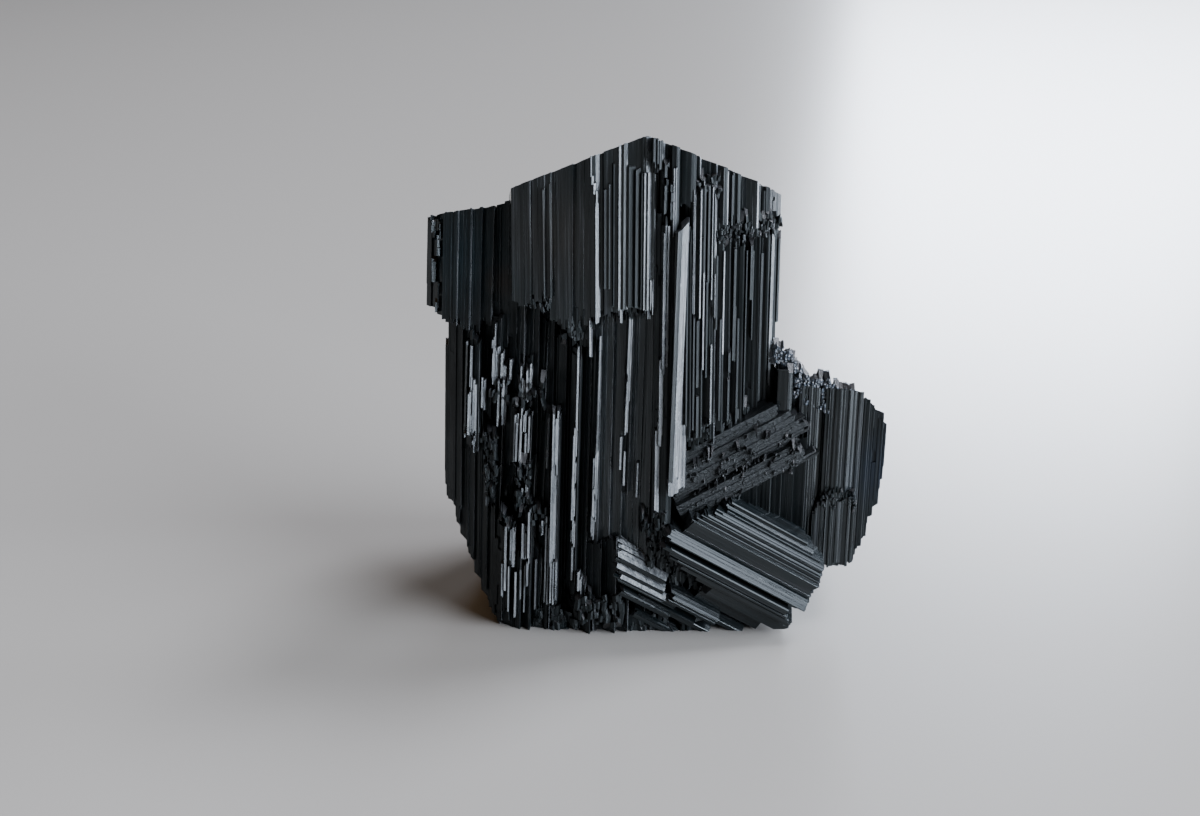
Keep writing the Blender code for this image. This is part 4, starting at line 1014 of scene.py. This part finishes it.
def sugary_tourmaline():
    """Fine bluish grains grown over the shoulder: rough, glittering and paler than the faces."""
    material, tree = new_material("sugary_schorl")
    grains = add(tree, "ShaderNodeTexVoronoi", in_millimetres(tree), Scale=4.0, Randomness=1.0)
    bump = add(tree, "ShaderNodeBump", Strength=1.0, Distance=0.12 * MM, Height=grains.outputs["Distance"])
    colour = add(tree, "ShaderNodeValToRGB", grains.outputs["Distance"])
    for stop, shade in zip(colour.color_ramp.elements, ("#10161C", "#48535F")):
        stop.color = linear(shade)
    shader = add(tree, "ShaderNodeBsdfPrincipled", Base_Color=colour.outputs[0], IOR=SCHORL_IOR,
                 Roughness=0.4, Normal=bump.outputs[0])
    add(tree, "ShaderNodeOutputMaterial", Surface=shader.outputs[0])
    return material


def broken_tourmaline():
    """A broken crystal end: uneven and finely hackled, duller than the faces, with small bright chips."""
    material, tree = new_material("broken_schorl")
    own = in_millimetres(tree)
    chips = add(tree, "ShaderNodeTexVoronoi", own, Scale=1.4, Randomness=1.0)
    grit = add(tree, "ShaderNodeTexNoise", own, Scale=0.8, Detail=8.0, Roughness=0.7)
    both = add(tree, "ShaderNodeMath", grit.outputs[0], 5.0, chips.outputs["Distance"],
               operation="MULTIPLY_ADD")
    bump = add(tree, "ShaderNodeBump", Strength=1.0, Distance=0.04 * MM, Height=both.outputs[0])
    colour = add(tree, "ShaderNodeValToRGB", grit.outputs[0])
    for stop, shade in zip(colour.color_ramp.elements, ("#141516", "#25262A")):
        stop.color = linear(shade)
    worn = add(tree, "ShaderNodeMapRange", grit.outputs[0], To_Min=0.25, To_Max=0.7)
    shader = add(tree, "ShaderNodeBsdfPrincipled", Base_Color=colour.outputs[0], IOR=SCHORL_IOR,
                 Roughness=worn.outputs[0], Normal=bump.outputs[0])
    add(tree, "ShaderNodeOutputMaterial", Surface=shader.outputs[0])
    return material


# ---- The finished piece ----

def as_object(name, bm, collection, surfaces):
    """Moves a millimetre mesh to the shared frame, in metres, and makes it an object."""
    bmesh.ops.transform(bm, matrix=Matrix.Scale(MM, 4) @ Matrix.Translation(TO_SHARED), verts=bm.verts)
    bmesh.ops.recalc_face_normals(bm, faces=bm.faces)
    mesh = bpy.data.meshes.new(name)
    bm.to_mesh(mesh)
    bm.free()
    for surface in surfaces:
        mesh.materials.append(surface)
    item = bpy.data.objects.new(name, mesh)
    collection.objects.link(item)
    return item


def kept_inside(bm):
    """Cuts off what would stand out of the solid model's box."""
    low, high = (Vector(corner) / MM - TO_SHARED for corner in CAD_BOX)
    for axis in range(3):
        way = Vector((0.0, 0.0, 0.0))
        way[axis] = 1.0
        if max(vert.co[axis] for vert in bm.verts) > high[axis]:
            slice_off(bm, high, way)
        if axis < 2 and min(vert.co[axis] for vert in bm.verts) < low[axis]:
            slice_off(bm, low, -way)
    return bm


def connected(start):
    """All the points of the skin that a point lies on."""
    found = {start}
    waiting = [start]
    while waiting:
        point = waiting.pop()
        for edge in point.link_edges:
            other = edge.other_vert(point)
            if other not in found:
                found.add(other)
                waiting.append(other)
    return found


def grown_together(bundle, surfaces):
    """Joins all the columns in one closed skin, cut flat underneath."""
    workshop = bpy.data.collections.new("workshop")
    scene = bpy.context.scene
    scene.collection.children.link(workshop)
    whole = [bm for bm in bundle if bm.verts]
    columns = [as_object(f"column_{i:04d}", kept_inside(bm), workshop, surfaces)
               for i, bm in enumerate(whole)]
    core = columns[0]
    workshop.objects.unlink(core)
    scene.collection.objects.link(core)
    ground = as_object("ground_cutter", box(-40.0, 40.0, -40.0, 40.0, -20.0, 0.0), scene.collection, ())
    union = core.modifiers.new("grow together", "BOOLEAN")
    union.operation = "UNION"
    union.operand_type = "COLLECTION"
    union.collection = workshop
    union.solver = "MANIFOLD"
    flat = core.modifiers.new("cut flat underneath", "BOOLEAN")
    flat.operation = "DIFFERENCE"
    flat.object = ground
    flat.solver = "MANIFOLD"
    view = bpy.context.evaluated_depsgraph_get()
    mesh = bpy.data.meshes.new_from_object(core.evaluated_get(view))
    for item in list(workshop.objects) + [core, ground]:
        bpy.data.objects.remove(item)
    bpy.data.collections.remove(workshop)
    bm = bmesh.new()
    bm.from_mesh(mesh)
    bmesh.ops.triangulate(bm, faces=bm.faces)
    bmesh.ops.remove_doubles(bm, verts=bm.verts, dist=WELD * MM)
    skins = []
    left_over = set(bm.verts)
    while left_over:
        skins.append(connected(next(iter(left_over))))
        left_over -= skins[-1]
    skins.sort(key=len)
    for pocket in skins[:-1]:
        bmesh.ops.delete(bm, geom=list(pocket), context="VERTS")
    loose = [edge for edge in bm.edges if not edge.link_faces]
    bmesh.ops.delete(bm, geom=loose, context="EDGES")
    bm.to_mesh(mesh)
    bm.free()
    mesh.name = "black_tourmaline"
    piece = bpy.data.objects.new("black_tourmaline", mesh)
    scene.collection.objects.link(piece)
    return piece


def build_cluster():
    """Builds the cluster as one piece of the shared frame."""
    dice = random.Random(SEED)
    bundle = (main_body() + front_slab() + front_corner() + right_front() + recess_ribs()
              + upper_left_crystal() + left_columns() + right_crystal() + between_the_slants()
              + upper_slanting_crystal() + lower_slanting_crystal() + small_slanting_crystals()
              + shoulder_growth(dice) + back_and_sides(dice))
    upright = crystal_axes(0.0, 0.0)
    surfaces = (
        grooved_tourmaline("upright_schorl", upright, GLASSY),
        grooved_tourmaline("dulled_schorl", upright, DULLED),
        grooved_tourmaline("etched_schorl_painted_sheen", upright, FROSTED_PAINTED_SHEEN),
        grooved_tourmaline("rising_schorl", crystal_axes(*RISING_SLANT), MATTE),
        grooved_tourmaline("falling_schorl", crystal_axes(*FALLING_SLANT), BANDED),
        sugary_tourmaline(),
        broken_tourmaline(),
    )
    piece = grown_together(bundle, surfaces)
    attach(piece, "root")
    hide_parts("tourmaline_cluster")


# ---- Worktop, light and camera ----

def worktop():
    """A plain pale worktop."""
    bm = bmesh.new()
    bmesh.ops.create_grid(bm, x_segments=1, y_segments=1, size=3.0)
    mesh = bpy.data.meshes.new("worktop")
    bm.to_mesh(mesh)
    bm.free()
    material, tree = new_material("pale_worktop")
    shader = add(tree, "ShaderNodeBsdfPrincipled", Base_Color=linear("#9D9B97"), IOR=1.5, Roughness=0.3)
    add(tree, "ShaderNodeOutputMaterial", Surface=shader.outputs[0])
    mesh.materials.append(material)
    item = bpy.data.objects.new("worktop", mesh)
    bpy.context.scene.collection.objects.link(item)


def soft_light(name, azimuth, elevation, distance, width, height, power, colour):
    """A rectangular soft light that looks at the cluster; azimuth 0 is +X, 90 is behind it."""
    lamp = bpy.data.lights.new(name, "AREA")
    lamp.shape = "RECTANGLE"
    lamp.size = width
    lamp.size_y = height
    lamp.energy = power
    lamp.color = linear(colour)[:3]
    item = bpy.data.objects.new(name, lamp)
    way = facing(azimuth) * cos(radians(elevation))
    way.z = sin(radians(elevation))
    item.location = way * distance
    item.rotation_euler = way.to_track_quat("Z", "Y").to_euler()
    bpy.context.scene.collection.objects.link(item)


def surroundings(colour, strength):
    """An even faint light from all around."""
    world = bpy.data.worlds.new("room")
    bpy.context.scene.world = world
    world.use_nodes = True
    background = world.node_tree.nodes["Background"]
    background.inputs["Color"].default_value = linear(colour)
    background.inputs["Strength"].default_value = strength


def camera(spot, tilt):
    """The camera, before the cluster and a little above it; a tilt of 90 degrees looks level."""
    lens = bpy.data.cameras.new("camera")
    lens.lens = 45.0
    lens.sensor_width = 36.0
    lens.clip_start = 0.005
    item = bpy.data.objects.new("camera", lens)
    item.location = Vector(spot) * MM
    item.rotation_euler = (radians(tilt), 0.0, 0.0)
    bpy.context.scene.collection.objects.link(item)
    bpy.context.scene.camera = item


LIGHTS = (
    # name, azimuth, elevation, distance, width and height in metres, power in watts, colour
    ("window", 72.0, 14.0, 1.6, 0.45, 0.36, 16.0, "#E9F1FF"),
    ("side_window", -24.0, 15.0, 2.6, 2.2, 1.0, 215.0, "#EDF3FF"),
    ("far_side_window", 20.0, 15.0, 1.8, 0.7, 0.6, 36.0, "#E9F0FF"),
    ("high_window", -20.0, 46.0, 1.1, 0.6, 0.5, 6.6, "#EDF3FF"),
    ("roof_window", 32.0, 57.0, 1.2, 0.4, 0.4, 15.5, "#F1F4FF"),
    ("room_light", 150.0, 62.0, 1.2, 1.0, 0.8, 1.5, "#FFCC99"),
)

build_cluster()
worktop()
surroundings("#DCCDB8", 0.06)
for light in LIGHTS:
    soft_light(*light)
camera((-6.38, -144.6, 75.1), 69.0)
